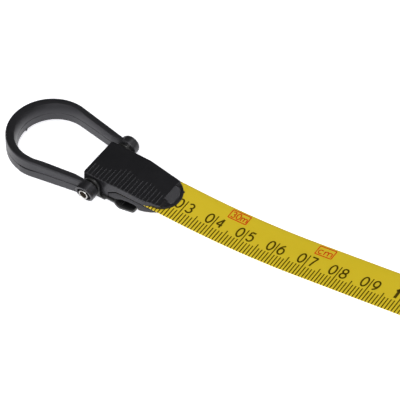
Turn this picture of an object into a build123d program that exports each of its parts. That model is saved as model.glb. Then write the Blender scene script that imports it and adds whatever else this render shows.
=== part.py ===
"""Closed-case long tape measure: blade end fitting with pull ring and claw, case, drum and folding crank.

Millimetres. +X runs along the blade from the pull ring towards the case, +Z is up, and the crank is on -Y.
The origin is on the standing face, under the drum's axis.
"""
import os
from math import acos, atan2, cos, hypot, pi, radians, sin, sqrt

from build123d import *

# Blade
blade_width = 13.0
blade_thickness = 0.25
blade_length = 30000.0
zero_run = 30.5
rise_angle = 9.9
rise_radius = 228.0
slope_run = 32.1
return_radius = 120.0
mouth_margin = 1.0
pull_out = 30.0
pull_in = 24.0
blade_tail = 2.0

# Drum
hub_radius = 22.0
hub_wall = 2.5
web_thickness = 3.0
axle_boss_radius = 7.0
axle_radius = 3.0
axle_head_radius = 6.0
axle_head_thickness = 1.2
axle_bush_wall = 1.5
axle_bush_length = 10.0
flange_lip = 2.4
flange_thickness = 1.2
window_radius = 7.0
window_count = 6
anchor_radius = 1.5
anchor_stand = 1.0

# Case
case_wall = 2.5
case_gap = 3.0
top_corner_radius = 36.0
bottom_corner_radius = 10.0
case_edge_radius = 3.0
pad_height = 2.0
pad_length = 72.0
pad_width = 16.0
post_radius = 4.0
post_gap = 1.6
screw_radius = 1.4
screw_head_radius = 3.0
screw_head_depth = 2.0
thread_depth = 8.0
lanyard_radius = 2.5
lanyard_wall = 2.5
grip_thickness = 1.2
grip_width = 16.0
liner_width = 16.4
liner_height = 8.0
liner_depth = 8.0
nose_length = 4.5
nose_width = 17.0
nose_height = 12.0
nose_edge_radius = 1.5
wiper_thickness = 0.8
bush_wall = 3.0
pad_corner_radius = 4.0
grip_start_x = 8.0
grip_start_height = 22.0

# Crank
plate_margin = 4.0
plate_thickness = 2.0
arm_width = 8.0
arm_thickness = 3.0
crank_pivot_inset = 5.0
crank_pin_radius = 0.8
lug_width = 2.5
knob_radius = 4.5
knob_length = 11.0
stud_radius = 1.5
stud_head_radius = 2.6
stud_head_thickness = 1.0
plate_screw_radius = 1.2
plate_screw_head_radius = 2.4
plate_screw_length = 8.0
plate_post_radius = 2.8
knob_opening_gap = 0.6

# End fitting, measured from the zero mark and from the blade's printed face
hinge_x = 3.7
hinge_drop = 1.1
pin_radius = 1.7
pin_bore_radius = 1.05
pin_recess = 0.4
cover_back_x = 0.2
cover_half_width = 7.1
cover_front_half_width = 5.8
cover_height = 1.75
cover_front_height = 1.25
cover_shoulder_x = 13.5
cover_facet_x = 24.2
lip_x = 26.9
lip_height = 0.45
cover_tip_x = 28.0
cover_edge_radius = 0.3
knuckle_radius = 2.6
blade_stop_x = 8.6
belly_depth = 3.15
belly_x = 11.0
tail_x = 25.2
tail_depth = 0.5
belly_edge_radius = 1.1
rivet_radius = 1.25
rivet_spacing = 7.0

# Claw
claw_thickness = 0.7
claw_half_width = 7.6
claw_tab_x = 12.4
claw_tab_drop = 1.3
claw_tip_x = 16.9
claw_rise = 0.5
claw_tip_rise = 1.0
claw_corner_radius = 2.0

# Pull ring
ring_reach = 16.1
ring_outer_radius = 13.05
ring_thickness = 2.35
ring_inner_shift = 0.95
ring_leg_thickness = 1.2
ring_height = 6.4
ring_leg_height = 4.6
ring_boss_radius = 2.9
ring_boss_length = 3.5
ring_edge_radius = 0.3
boss_recess_radius = 2.1

# Clearances
running_clearance = 0.05
body_gap = 0.3
blade_side_gap = 0.5
end_gap = 0.1
blade_face_gap = 0.35
flange_side_gap = 0.8

# Derived heights along the blade's route: the claw's tab rests on the ground
knuckle_low = -hinge_drop - knuckle_radius
claw_top = knuckle_low - body_gap
tab_top = claw_top + claw_rise - claw_tab_drop
fitting_height = claw_thickness - tab_top
mouth_run = pull_in + mouth_margin
rise_turn = radians(rise_angle)
mouth_z = (
    fitting_height
    + (rise_radius + return_radius) * (1 - cos(rise_turn))
    + slope_run * sin(rise_turn)
)
route_length = (
    zero_run
    + (rise_radius + return_radius) * sin(rise_turn)
    + slope_run * cos(rise_turn)
    + mouth_run
)

# Derived drum and case sizes
pack_radius = sqrt(hub_radius**2 + blade_length * blade_thickness / pi)
flange_radius = pack_radius + flange_lip
case_inner = flange_radius + case_gap
case_half = case_inner + case_wall
drum_z = mouth_z + body_gap + pack_radius
case_top = drum_z + case_half
drum_half_width = blade_width / 2 + blade_side_gap
plate_radius = hub_radius + plate_margin
crank_pivot_x = hub_radius - crank_pivot_inset
case_inner_half_width = drum_half_width + flange_thickness + flange_side_gap
case_half_width = case_inner_half_width + case_wall
mouth_x = -(case_half + nose_length)
zero_x = mouth_x - route_length
blade_start_x = zero_x + blade_stop_x + end_gap
blade_end_x = pull_out + blade_tail
hinge = (zero_x + hinge_x, fitting_height - hinge_drop)

hinge_axis = Plane((hinge[0], 0, hinge[1]), x_dir=(1, 0, 0), z_dir=(0, -1, 0))
top_post = (flange_radius + post_gap + post_radius) / sqrt(2)
bottom_post_z = pad_height + case_wall / 2 + post_radius
lanyard = (case_half - bottom_corner_radius, pad_height + case_wall + lanyard_radius)
post_points = [
    (-top_post, drum_z + top_post),
    (top_post, drum_z + top_post),
    (-case_half + 4 * post_radius, bottom_post_z),
    (lanyard[0] - 4 * post_radius, bottom_post_z),
]


def at_y(y):
    """Plane square to Y at y, with sketch x along +X, sketch y along +Z and its normal along -Y."""
    return Plane((0, y, 0), x_dir=(1, 0, 0), z_dir=(0, -1, 0))


def drum_plane(y):
    """Plane square to the drum's axis at y, centred on that axis."""
    return Plane((0, y, drum_z), x_dir=(1, 0, 0), z_dir=(0, -1, 0))


def fitting_point(x, z):
    """Point of the end fitting from its place after the zero mark and over the printed face."""
    return (zero_x + x, fitting_height + z)


def finish(builder, name):
    """Label a finished piece and write it to its own file."""
    builder.part.label = name
    export_step(builder.part, f"parts/{name}.step")


def case_corners(inset):
    """Corners of the case's side outline, moved inwards by inset, from the bottom right anticlockwise."""
    half = case_half - inset
    low = pad_height + inset
    high = case_top - inset
    return [(half, low), (half, high), (-half, high), (-half, low)]


def case_radii(inset):
    """Corner radii that go with case_corners."""
    top = top_corner_radius - inset
    bottom = bottom_corner_radius - inset
    return [bottom, top, top, bottom]


os.makedirs("parts", exist_ok=True)

# Blade: level at the fitting, a gentle rise, and level again through the mouth
rise_start = (zero_x + zero_run, fitting_height)
rise_centre = (rise_start[0], fitting_height + rise_radius)
return_centre = (mouth_x - mouth_run, mouth_z - return_radius)

with BuildPart() as blade:
    with BuildSketch(Plane.XZ):
        with BuildLine():
            top_level = Line((blade_start_x, fitting_height), rise_start)
            top_rise = CenterArc(rise_centre, rise_radius, -90, rise_angle)
            top_return = CenterArc(return_centre, return_radius, 90, rise_angle)
            Line(top_rise @ 1, top_return @ 1)
            top_inner = Line(top_return @ 0, (blade_end_x, mouth_z))
            low_rise = CenterArc(rise_centre, rise_radius + blade_thickness, -90, rise_angle)
            low_return = CenterArc(return_centre, return_radius - blade_thickness, 90, rise_angle)
            low_level = Line((blade_start_x, fitting_height - blade_thickness), low_rise @ 0)
            Line(low_rise @ 1, low_return @ 1)
            low_inner = Line(low_return @ 0, (blade_end_x, mouth_z - blade_thickness))
            Line(top_level @ 0, low_level @ 0)
            Line(top_inner @ 1, low_inner @ 1)
        make_face()
    extrude(amount=blade_width / 2, both=True)
    rivet_points = [
        (zero_x + belly_x + rivet_radius, 0),
        (zero_x + belly_x + rivet_radius + rivet_spacing, 0),
    ]
    with BuildSketch(Plane.XY.offset(fitting_height - blade_thickness)):
        with Locations(*rivet_points):
            Circle(rivet_radius)
    extrude(amount=blade_thickness, mode=Mode.SUBTRACT)
finish(blade, "blade")

# Rivets through the covers and the blade
rivet_low = fitting_height - blade_thickness - belly_depth / 2
rivet_top = fitting_height + cover_front_height / 2
with BuildPart() as cover_rivets:
    with BuildSketch(Plane.XY.offset(rivet_low)):
        with Locations(*rivet_points):
            Circle(rivet_radius)
    extrude(amount=rivet_top - rivet_low)
finish(cover_rivets, "cover_rivets")

# Top cover: knuckle block round the hinge pin, tapering top plate and thin round lip
with BuildPart() as end_cover_top:
    with BuildSketch(Plane.XZ):
        with BuildLine():
            back = Line(fitting_point(cover_back_x, -hinge_drop), fitting_point(cover_back_x, cover_height))
            top = Line(back @ 1, fitting_point(cover_shoulder_x, cover_height))
            slope = Line(top @ 1, fitting_point(cover_facet_x, cover_front_height))
            facet = Line(slope @ 1, fitting_point(lip_x, lip_height))
            lip = Line(facet @ 1, fitting_point(cover_tip_x, lip_height))
            tip = Line(lip @ 1, fitting_point(cover_tip_x, 0))
            seat = Line(tip @ 1, fitting_point(blade_stop_x, 0))
            stop = Line(seat @ 1, fitting_point(blade_stop_x, -belly_depth))
            under = Line(stop @ 1, fitting_point(hinge_x, knuckle_low))
            heel = RadiusArc(under @ 1, fitting_point(hinge_x - knuckle_radius, -hinge_drop), knuckle_radius)
            Line(heel @ 1, back @ 0)
        make_face()
    extrude(amount=cover_half_width, both=True)
    with BuildSketch(Plane.XY.offset(fitting_height + knuckle_low)):
        with BuildLine():
            far = Polyline(
                (zero_x + cover_back_x, cover_half_width),
                (zero_x + cover_shoulder_x, cover_half_width),
                (zero_x + cover_facet_x, cover_front_half_width),
            )
            near = Polyline(
                (zero_x + cover_back_x, -cover_half_width),
                (zero_x + cover_shoulder_x, -cover_half_width),
                (zero_x + cover_facet_x, -cover_front_half_width),
            )
            ThreePointArc(far @ 1, (zero_x + cover_tip_x, 0), near @ 1)
            Line(far @ 0, near @ 0)
        make_face()
    extrude(amount=cover_height - knuckle_low, mode=Mode.INTERSECT)
    with BuildSketch(Plane.YZ.offset(zero_x)):
        with Locations((0, fitting_height + (cover_height + knuckle_low) / 2)):
            section = Rectangle(2 * cover_half_width, cover_height - knuckle_low)
        fillet(section.vertices().group_by(Axis.Y)[-1], cover_edge_radius)
    extrude(amount=cover_tip_x, mode=Mode.INTERSECT)
    with BuildSketch(hinge_axis):
        Circle(pin_radius)
    extrude(amount=cover_half_width, both=True, mode=Mode.SUBTRACT)
    with BuildSketch(Plane.XY.offset(rivet_low)):
        with Locations(*rivet_points):
            Circle(rivet_radius)
    extrude(amount=rivet_top - rivet_low, mode=Mode.SUBTRACT)
finish(end_cover_top, "end_cover_top")

# Bottom cover: lens-shaped shell under the blade
with BuildPart() as end_cover_bottom:
    with BuildSketch(Plane.XZ):
        with BuildLine():
            seat = Line(
                fitting_point(blade_stop_x + end_gap, -blade_thickness),
                fitting_point(tail_x, -blade_thickness),
            )
            tail = Line(seat @ 1, fitting_point(tail_x, -tail_depth))
            belly = ThreePointArc(
                tail @ 1,
                fitting_point((tail_x + belly_x) / 2, -0.88 * belly_depth - 0.12 * tail_depth),
                fitting_point(belly_x, -belly_depth),
            )
            heel = Line(belly @ 1, fitting_point(blade_stop_x + end_gap, -belly_depth))
            Line(heel @ 1, seat @ 0)
        make_face()
    extrude(amount=cover_half_width, both=True)
    with BuildSketch(Plane.XY.offset(fitting_height - belly_depth)):
        with BuildLine():
            Polyline(
                (zero_x + blade_stop_x, cover_half_width),
                (zero_x + cover_shoulder_x, cover_half_width),
                (zero_x + tail_x, cover_front_half_width),
                (zero_x + tail_x, -cover_front_half_width),
                (zero_x + cover_shoulder_x, -cover_half_width),
                (zero_x + blade_stop_x, -cover_half_width),
                close=True,
            )
        make_face()
    extrude(amount=belly_depth, mode=Mode.INTERSECT)
    with BuildSketch(Plane.YZ.offset(zero_x)):
        with Locations((0, fitting_height - belly_depth / 2)):
            section = Rectangle(2 * cover_half_width, belly_depth)
        fillet(section.vertices().group_by(Axis.Y)[0], belly_edge_radius)
    extrude(amount=tail_x, mode=Mode.INTERSECT)
    with BuildSketch(Plane.XY.offset(rivet_low)):
        with Locations(*rivet_points):
            Circle(rivet_radius)
    extrude(amount=rivet_top - rivet_low, mode=Mode.SUBTRACT)
finish(end_cover_bottom, "end_cover_bottom")

# Hinge pin: a steel tube held in the top cover
ear_inner = cover_half_width + body_gap
ear_outer = ear_inner + claw_thickness
boss_inner = ear_outer + body_gap
boss_outer = boss_inner + ring_boss_length
with BuildPart() as hinge_pin:
    with BuildSketch(hinge_axis):
        Circle(pin_radius)
        Circle(pin_bore_radius, mode=Mode.SUBTRACT)
    extrude(amount=boss_outer - pin_recess, both=True)
finish(hinge_pin, "hinge_pin")

# Claw: a folded plate with two ears on the hinge pin and a joggled finger tab
claw_heel_x = hinge_x + claw_thickness
joggle_x = claw_tab_x - claw_tab_drop
with BuildPart() as end_claw:
    with BuildSketch(Plane.XZ):
        with BuildLine():
            upper = Polyline(
                fitting_point(claw_heel_x, claw_top),
                fitting_point(joggle_x, claw_top + claw_rise),
                fitting_point(claw_tab_x, tab_top),
                fitting_point(claw_tip_x, tab_top + claw_tip_rise),
            )
            lower = Polyline(
                fitting_point(claw_heel_x, claw_top - claw_thickness),
                fitting_point(joggle_x - claw_thickness / 2, claw_top + claw_rise - claw_thickness),
                fitting_point(claw_tab_x - claw_thickness / 2, tab_top - claw_thickness),
                fitting_point(claw_tip_x, tab_top + claw_tip_rise - claw_thickness),
            )
            Line(upper @ 0, lower @ 0)
            Line(upper @ 1, lower @ 1)
        make_face()
    extrude(amount=claw_half_width, both=True)
    fillet(end_claw.edges().filter_by(Axis.Z).group_by(Axis.X)[-1], claw_corner_radius)
    for ear_start in (-ear_inner, ear_outer):
        with BuildSketch(at_y(ear_start)):
            with Locations(hinge):
                Circle(knuckle_radius)
            with Locations((hinge[0] + knuckle_radius / 2, (hinge[1] + fitting_height + claw_top) / 2)):
                Rectangle(knuckle_radius, hinge[1] - fitting_height - claw_top)
            with Locations((hinge[0] + knuckle_radius, fitting_height + claw_top - claw_thickness / 2)):
                Rectangle(2 * (hinge_x + knuckle_radius - claw_heel_x), claw_thickness)
            with Locations(hinge):
                Circle(pin_radius + running_clearance, mode=Mode.SUBTRACT)
        extrude(amount=claw_thickness)
finish(end_claw, "end_claw")

# Pull ring: a round end and two tapering legs with bosses on the hinge pin
ring_centre_x = zero_x - ring_reach
ring_sides = [
    (ring_centre_x, ring_outer_radius, boss_inner + ring_leg_thickness, Mode.ADD),
    (ring_centre_x + ring_inner_shift, ring_outer_radius - ring_thickness, boss_inner, Mode.SUBTRACT),
]
with BuildPart() as pull_ring:
    with BuildSketch(Plane.XY.offset(hinge[1] - ring_height / 2)):
        for centre_x, radius, end_y, mode in ring_sides:
            leg_end = (hinge[0], end_y)
            run = hinge[0] - centre_x
            touch_angle = atan2(end_y, run) + acos(radius / hypot(run, end_y))
            touch = (centre_x + radius * cos(touch_angle), radius * sin(touch_angle))
            with BuildLine():
                ThreePointArc(touch, (centre_x - radius, 0), (touch[0], -touch[1]))
                Polyline((touch[0], -touch[1]), (leg_end[0], -leg_end[1]), leg_end, touch)
            make_face(mode=mode)
    extrude(amount=ring_height)
    with BuildSketch(Plane.XZ):
        with BuildLine():
            Polyline(
                (ring_centre_x - ring_outer_radius, hinge[1] + ring_height / 2),
                (ring_centre_x, hinge[1] + ring_height / 2),
                (hinge[0], hinge[1] + ring_leg_height / 2),
                (hinge[0], hinge[1] - ring_leg_height / 2),
                (ring_centre_x, hinge[1] - ring_height / 2),
                (ring_centre_x - ring_outer_radius, hinge[1] - ring_height / 2),
                close=True,
            )
        make_face()
    extrude(amount=ring_outer_radius, both=True, mode=Mode.INTERSECT)
    fillet(pull_ring.edges().filter_by(GeomType.CIRCLE), ring_edge_radius)
    for boss_start in (-boss_inner, boss_outer):
        with BuildSketch(at_y(boss_start)):
            with Locations(hinge):
                Circle(ring_boss_radius)
        extrude(amount=ring_boss_length)
    with BuildSketch(hinge_axis):
        Circle(pin_radius + running_clearance)
    extrude(amount=boss_outer, both=True, mode=Mode.SUBTRACT)
    for recess_start in (-boss_outer + 2 * pin_recess, boss_outer):
        with BuildSketch(at_y(recess_start)):
            with Locations(hinge):
                Circle(boss_recess_radius)
        extrude(amount=2 * pin_recess, mode=Mode.SUBTRACT)
finish(pull_ring, "pull_ring")

# Drum core: a cup that carries the blade, open to the crank side, with a boss for the axle
nose_front = -(case_half_width + body_gap)
core_depth = drum_half_width - nose_front
cup_depth = core_depth - web_thickness
cup_radius = hub_radius - hub_wall
plate_post_points = [(0, cup_radius - plate_post_radius / 2), (0, plate_post_radius / 2 - cup_radius)]
with BuildPart() as drum_core:
    with BuildSketch(drum_plane(drum_half_width)):
        Circle(hub_radius)
    extrude(amount=core_depth)
    with BuildSketch(drum_plane(nose_front)):
        Circle(cup_radius)
        Circle(axle_boss_radius, mode=Mode.SUBTRACT)
        with Locations(*plate_post_points):
            Circle(plate_post_radius, mode=Mode.SUBTRACT)
    extrude(amount=-cup_depth, mode=Mode.SUBTRACT)
    with BuildSketch(drum_plane(drum_half_width)):
        Circle(axle_radius + axle_bush_wall)
    extrude(amount=axle_bush_length, mode=Mode.SUBTRACT)
    with BuildSketch(drum_plane(nose_front)):
        with Locations(*plate_post_points):
            Circle(plate_screw_radius)
    extrude(amount=-(plate_screw_length - plate_thickness), mode=Mode.SUBTRACT)
    with BuildSketch(Plane.YZ.offset(cup_radius - anchor_stand)):
        with Locations((0, drum_z)):
            Circle(anchor_radius)
    extrude(amount=hub_wall + anchor_stand, mode=Mode.SUBTRACT)
finish(drum_core, "drum_core")

# Pin that holds the blade's inner end in the hub's wall
with BuildPart() as blade_anchor:
    with BuildSketch(Plane.YZ.offset(cup_radius - anchor_stand)):
        with Locations((0, drum_z)):
            Circle(anchor_radius)
    extrude(amount=hub_wall + anchor_stand - end_gap)
finish(blade_anchor, "blade_anchor")

# Bush in the drum core and the axle that it turns on
with BuildPart() as axle_bush:
    with BuildSketch(drum_plane(drum_half_width)):
        Circle(axle_radius + axle_bush_wall)
        Circle(axle_radius + running_clearance, mode=Mode.SUBTRACT)
    extrude(amount=axle_bush_length)
finish(axle_bush, "axle_bush")

with BuildPart() as axle:
    with BuildSketch(drum_plane(case_half_width + axle_head_thickness)):
        Circle(axle_head_radius)
    extrude(amount=axle_head_thickness)
    with BuildSketch(drum_plane(case_half_width)):
        Circle(axle_radius)
    extrude(amount=case_half_width - drum_half_width + axle_bush_length - body_gap)
    fillet(axle.faces().sort_by(Axis.Y)[-1].edges(), axle_head_thickness / 2)
finish(axle, "axle")

# Drum flanges, the wound blade between them
window_ring = (hub_radius + flange_radius) / 2
with BuildPart() as drum_flange_back:
    with BuildSketch(drum_plane(drum_half_width + flange_thickness)):
        Circle(flange_radius)
        Circle(axle_boss_radius + hub_wall, mode=Mode.SUBTRACT)
        with PolarLocations(window_ring, window_count):
            Circle(window_radius, mode=Mode.SUBTRACT)
    extrude(amount=flange_thickness)
finish(drum_flange_back, "drum_flange_back")

with BuildPart() as drum_flange_front:
    with BuildSketch(drum_plane(-drum_half_width)):
        Circle(flange_radius)
        Circle(hub_radius, mode=Mode.SUBTRACT)
        with PolarLocations(window_ring, window_count):
            Circle(window_radius, mode=Mode.SUBTRACT)
    extrude(amount=flange_thickness)
finish(drum_flange_front, "drum_flange_front")

with BuildPart() as tape_pack:
    with BuildSketch(drum_plane(0)):
        Circle(pack_radius)
        Circle(hub_radius, mode=Mode.SUBTRACT)
    extrude(amount=blade_width / 2, both=True)
finish(tape_pack, "tape_pack")

# Crank plate on the drum core's nose, with two lugs for the folding arm
plate_front = nose_front - plate_thickness
arm_back = plate_front - body_gap
pivot_y = arm_back - arm_thickness / 2
arm_front = arm_back - arm_thickness
knob_x = -(axle_boss_radius + knob_radius + knob_opening_gap)
arm_length = crank_pivot_x - knob_x
knob_near = arm_back + body_gap
knob_far = knob_near + knob_length
knob_swing = sqrt(arm_length**2 + (knob_far - pivot_y) ** 2) - arm_length
lug_inner = arm_width / 2 + body_gap
lug_outer = lug_inner + lug_width
lug_radius = arm_thickness / 2 + body_gap
with BuildPart() as crank_plate:
    with BuildSketch(drum_plane(nose_front)):
        Circle(plate_radius)
        with Locations((knob_x - knob_swing / 2, 0)):
            SlotCenterToCenter(knob_swing, 2 * (knob_radius + knob_opening_gap), mode=Mode.SUBTRACT)
        with Locations(*plate_post_points):
            Circle(plate_screw_radius, mode=Mode.SUBTRACT)
    extrude(amount=plate_thickness)
    fillet(crank_plate.faces().sort_by(Axis.Y)[0].outer_wire().edges(), plate_thickness / 2)
    with BuildSketch(drum_plane(plate_front)):
        with Locations(*plate_post_points):
            Circle(plate_screw_head_radius)
    extrude(amount=-plate_thickness / 2, mode=Mode.SUBTRACT)
    for lug_low in (-lug_outer, lug_inner):
        with BuildSketch(Plane.XY.offset(drum_z + lug_low)):
            with Locations((crank_pivot_x, pivot_y)):
                Circle(lug_radius)
            with Locations((crank_pivot_x, (pivot_y + plate_front) / 2)):
                Rectangle(2 * lug_radius, pivot_y - plate_front)
            with Locations((crank_pivot_x, pivot_y)):
                Circle(crank_pin_radius, mode=Mode.SUBTRACT)
        extrude(amount=lug_width)
finish(crank_plate, "crank_plate")

with BuildPart() as crank_plate_screws:
    with BuildSketch(drum_plane(plate_front + plate_thickness / 2)):
        with Locations(*plate_post_points):
            Circle(plate_screw_head_radius)
    extrude(amount=plate_thickness / 2)
    with BuildSketch(drum_plane(plate_front + plate_thickness / 2)):
        with Locations(*plate_post_points):
            Circle(plate_screw_radius)
    extrude(amount=-(plate_screw_length - plate_thickness / 2))
finish(crank_plate_screws, "crank_plate_screws")

with BuildPart() as crank_pin:
    with BuildSketch(Plane.XY.offset(drum_z)):
        with Locations((crank_pivot_x, pivot_y)):
            Circle(crank_pin_radius)
    extrude(amount=lug_outer, both=True)
finish(crank_pin, "crank_pin")

# Crank arm, folded over the plate, its stud and the knob that stows in the drum core
with BuildPart() as crank_arm:
    with BuildSketch(drum_plane(arm_back)):
        with Locations(((crank_pivot_x + knob_x) / 2, 0)):
            Rectangle(arm_length, arm_width)
        with Locations((knob_x, 0)):
            Circle(arm_width / 2)
            Circle(stud_radius, mode=Mode.SUBTRACT)
    extrude(amount=arm_thickness)
    with BuildSketch(Plane.XY.offset(drum_z)):
        with Locations((crank_pivot_x, pivot_y)):
            Circle(arm_thickness / 2)
    extrude(amount=arm_width / 2, both=True)
    with BuildSketch(Plane.XY.offset(drum_z)):
        with Locations((crank_pivot_x, pivot_y)):
            Circle(crank_pin_radius + running_clearance)
    extrude(amount=arm_width / 2, both=True, mode=Mode.SUBTRACT)
finish(crank_arm, "crank_arm")

stud_head_near = knob_far - stud_head_thickness - body_gap
with BuildPart() as knob_stud:
    with BuildSketch(drum_plane(stud_head_near)):
        with Locations((knob_x, 0)):
            Circle(stud_radius)
    extrude(amount=stud_head_near - arm_front)
    with BuildSketch(drum_plane(stud_head_near + stud_head_thickness)):
        with Locations((knob_x, 0)):
            Circle(stud_head_radius)
    extrude(amount=stud_head_thickness)
finish(knob_stud, "knob_stud")

with BuildPart() as crank_knob:
    with BuildSketch(drum_plane(knob_far)):
        with Locations((knob_x, 0)):
            Circle(knob_radius)
    extrude(amount=knob_length)
    fillet(crank_knob.edges(), stud_head_thickness)
    with BuildSketch(drum_plane(knob_far)):
        with Locations((knob_x, 0)):
            Circle(stud_radius + running_clearance)
    extrude(amount=knob_length, mode=Mode.SUBTRACT)
    with BuildSketch(drum_plane(knob_far)):
        with Locations((knob_x, 0)):
            Circle(stud_head_radius + body_gap)
    extrude(amount=stud_head_thickness + 2 * body_gap, mode=Mode.SUBTRACT)
finish(crank_knob, "crank_knob")


def case_shell(side):
    """Half of the case, hollow, with its posts, lanyard eye and mouth: side is 1 for front and -1 for back."""
    with BuildPart() as shell:
        with BuildSketch(Plane.XZ):
            with BuildLine():
                FilletPolyline(*case_corners(0), radius=case_radii(0), close=True)
            make_face()
        extrude(amount=side * case_half_width)
        side_faces = shell.faces().filter_by(Axis.Y).sort_by(Axis.Y)
        outer_face = side_faces[0] if side == 1 else side_faces[-1]
        fillet(outer_face.edges(), case_edge_radius)
        with BuildSketch(Plane.XZ):
            with BuildLine():
                FilletPolyline(*case_corners(case_wall), radius=case_radii(case_wall), close=True)
            make_face()
            with Locations(*post_points):
                Circle(post_radius, mode=Mode.SUBTRACT)
            with Locations(lanyard):
                Circle(lanyard_radius + lanyard_wall, mode=Mode.SUBTRACT)
        extrude(amount=side * case_inner_half_width, mode=Mode.SUBTRACT)
        with BuildSketch(Plane.XZ):
            with Locations(lanyard):
                Circle(lanyard_radius)
        extrude(amount=side * case_half_width, mode=Mode.SUBTRACT)
        with BuildSketch(Plane.YZ.offset(-case_half)):
            with Locations((0, mouth_mid)):
                Rectangle(liner_width, liner_height)
        extrude(amount=liner_depth, mode=Mode.SUBTRACT)
    return shell.part


mouth_mid = mouth_z - blade_thickness / 2
front_shell = case_shell(1)
back_shell = case_shell(-1)
with BuildPart() as case_front:
    add(front_shell)
    with BuildSketch(drum_plane(0)):
        Circle(hub_radius + bush_wall)
    extrude(amount=case_half_width, mode=Mode.SUBTRACT)
    with BuildSketch(Plane.XZ):
        with Locations(*post_points):
            Circle(screw_radius)
    extrude(amount=thread_depth, mode=Mode.SUBTRACT)
finish(case_front, "case_front")

with BuildPart() as case_back:
    add(back_shell)
    with BuildSketch(drum_plane(case_half_width)):
        Circle(axle_head_radius)
    extrude(amount=case_half_width - drum_half_width - body_gap)
    with BuildSketch(drum_plane(case_half_width)):
        Circle(axle_radius)
    extrude(amount=case_half_width, mode=Mode.SUBTRACT)
    with BuildSketch(at_y(case_half_width)):
        with Locations(*post_points):
            Circle(screw_radius)
    extrude(amount=case_half_width, mode=Mode.SUBTRACT)
    with BuildSketch(at_y(case_half_width)):
        with Locations(*post_points):
            Circle(screw_head_radius)
    extrude(amount=screw_head_depth, mode=Mode.SUBTRACT)
finish(case_back, "case_back")

# Screws that join the case halves, from the back
with BuildPart() as case_screws:
    with BuildSketch(at_y(case_half_width)):
        with Locations(*post_points):
            Circle(screw_head_radius)
    extrude(amount=screw_head_depth)
    with BuildSketch(at_y(case_half_width - screw_head_depth)):
        with Locations(*post_points):
            Circle(screw_radius)
    extrude(amount=case_half_width - screw_head_depth + thread_depth)
finish(case_screws, "case_screws")

# Bearing ring of the drum core's nose in the front half
with BuildPart() as bush_front:
    with BuildSketch(drum_plane(-case_inner_half_width)):
        Circle(hub_radius + bush_wall)
        Circle(hub_radius + running_clearance, mode=Mode.SUBTRACT)
    extrude(amount=case_wall)
finish(bush_front, "bush_front")

# Mouth liner across both halves, and the wiper pads on each face of the blade
slot_width = blade_width + 2 * blade_side_gap
slot_height = blade_thickness + 2 * (blade_face_gap + wiper_thickness)
with BuildPart() as mouth_liner:
    with BuildSketch(Plane.YZ.offset(mouth_x)):
        with Locations((0, mouth_mid)):
            Rectangle(nose_width, nose_height)
    extrude(amount=nose_length)
    fillet(mouth_liner.edges().group_by(Axis.X)[0], nose_edge_radius)
    with BuildSketch(Plane.YZ.offset(-case_half)):
        with Locations((0, mouth_mid)):
            Rectangle(liner_width, liner_height)
    extrude(amount=liner_depth)
    with BuildSketch(Plane.YZ.offset(mouth_x)):
        with Locations((0, mouth_mid)):
            Rectangle(slot_width, slot_height)
    extrude(amount=nose_length + liner_depth, mode=Mode.SUBTRACT)
finish(mouth_liner, "mouth_liner")

wiper_length = nose_length + liner_depth - 2 * nose_edge_radius
with BuildPart() as wiper_pads:
    with BuildSketch(Plane.YZ.offset(mouth_x + nose_edge_radius)):
        with GridLocations(0, slot_height - wiper_thickness, 1, 2):
            with Locations((0, mouth_mid)):
                Rectangle(slot_width, wiper_thickness)
    extrude(amount=wiper_length)
finish(wiper_pads, "wiper_pads")

# Rubber grip round the top and the far side, and the pad that the case stands on
with BuildPart() as grip_band:
    with BuildSketch(Plane.XZ):
        with BuildLine():
            FilletPolyline(*case_corners(-grip_thickness), radius=case_radii(-grip_thickness), close=True)
        make_face()
        with BuildLine():
            FilletPolyline(*case_corners(0), radius=case_radii(0), close=True)
        make_face(mode=Mode.SUBTRACT)
        with Locations((grip_start_x, grip_start_height)):
            Rectangle(2 * case_half, 2 * case_top, align=(Align.MIN, Align.MIN), mode=Mode.INTERSECT)
    extrude(amount=grip_width / 2, both=True)
finish(grip_band, "grip_band")

with BuildPart() as base_pad:
    with BuildSketch(Plane.XY):
        RectangleRounded(pad_length, pad_width, pad_corner_radius)
    extrude(amount=pad_height)
finish(base_pad, "base_pad")
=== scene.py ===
"""Looks of a closed-case long tape measure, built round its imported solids.

Lengths in this file are millimetres in the row frame. The print and the end fitting are placed by
their distance along the blade from the zero mark, their place across it and their height over its
printed face.
"""
import logging
import math
from dataclasses import dataclass, replace
from enum import Enum
from typing import Sequence

import bmesh
import bpy
import numpy as np
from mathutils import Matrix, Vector


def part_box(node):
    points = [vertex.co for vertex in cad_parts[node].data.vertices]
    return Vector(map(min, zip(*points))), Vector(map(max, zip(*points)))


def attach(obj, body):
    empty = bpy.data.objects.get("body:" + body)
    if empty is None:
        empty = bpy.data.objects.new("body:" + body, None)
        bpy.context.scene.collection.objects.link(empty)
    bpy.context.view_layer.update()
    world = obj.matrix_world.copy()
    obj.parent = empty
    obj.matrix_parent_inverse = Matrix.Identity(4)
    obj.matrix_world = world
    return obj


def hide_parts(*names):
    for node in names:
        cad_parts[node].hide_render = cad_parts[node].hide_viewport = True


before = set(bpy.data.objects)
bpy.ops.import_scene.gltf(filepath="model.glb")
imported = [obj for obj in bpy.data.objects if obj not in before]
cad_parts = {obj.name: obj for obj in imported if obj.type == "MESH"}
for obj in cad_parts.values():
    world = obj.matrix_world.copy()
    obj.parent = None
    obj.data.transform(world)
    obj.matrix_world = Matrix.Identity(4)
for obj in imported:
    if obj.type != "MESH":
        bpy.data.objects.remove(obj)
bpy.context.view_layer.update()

log = logging.getLogger("tape_measure")
logging.basicConfig(level=logging.INFO, format="%(name)s: %(message)s")

MM = 0.001
Array = np.ndarray
Colour = tuple[float, float, float]
Knots = tuple[tuple[float, float], ...]

# How far the top cover starts behind the zero mark and stands over the printed face.
COVER_BACK = 0.2
COVER_HEIGHT = 1.75

# Points of a mesh closer than this, in metres, are one point.
MERGE_DISTANCE = 2e-8

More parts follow.
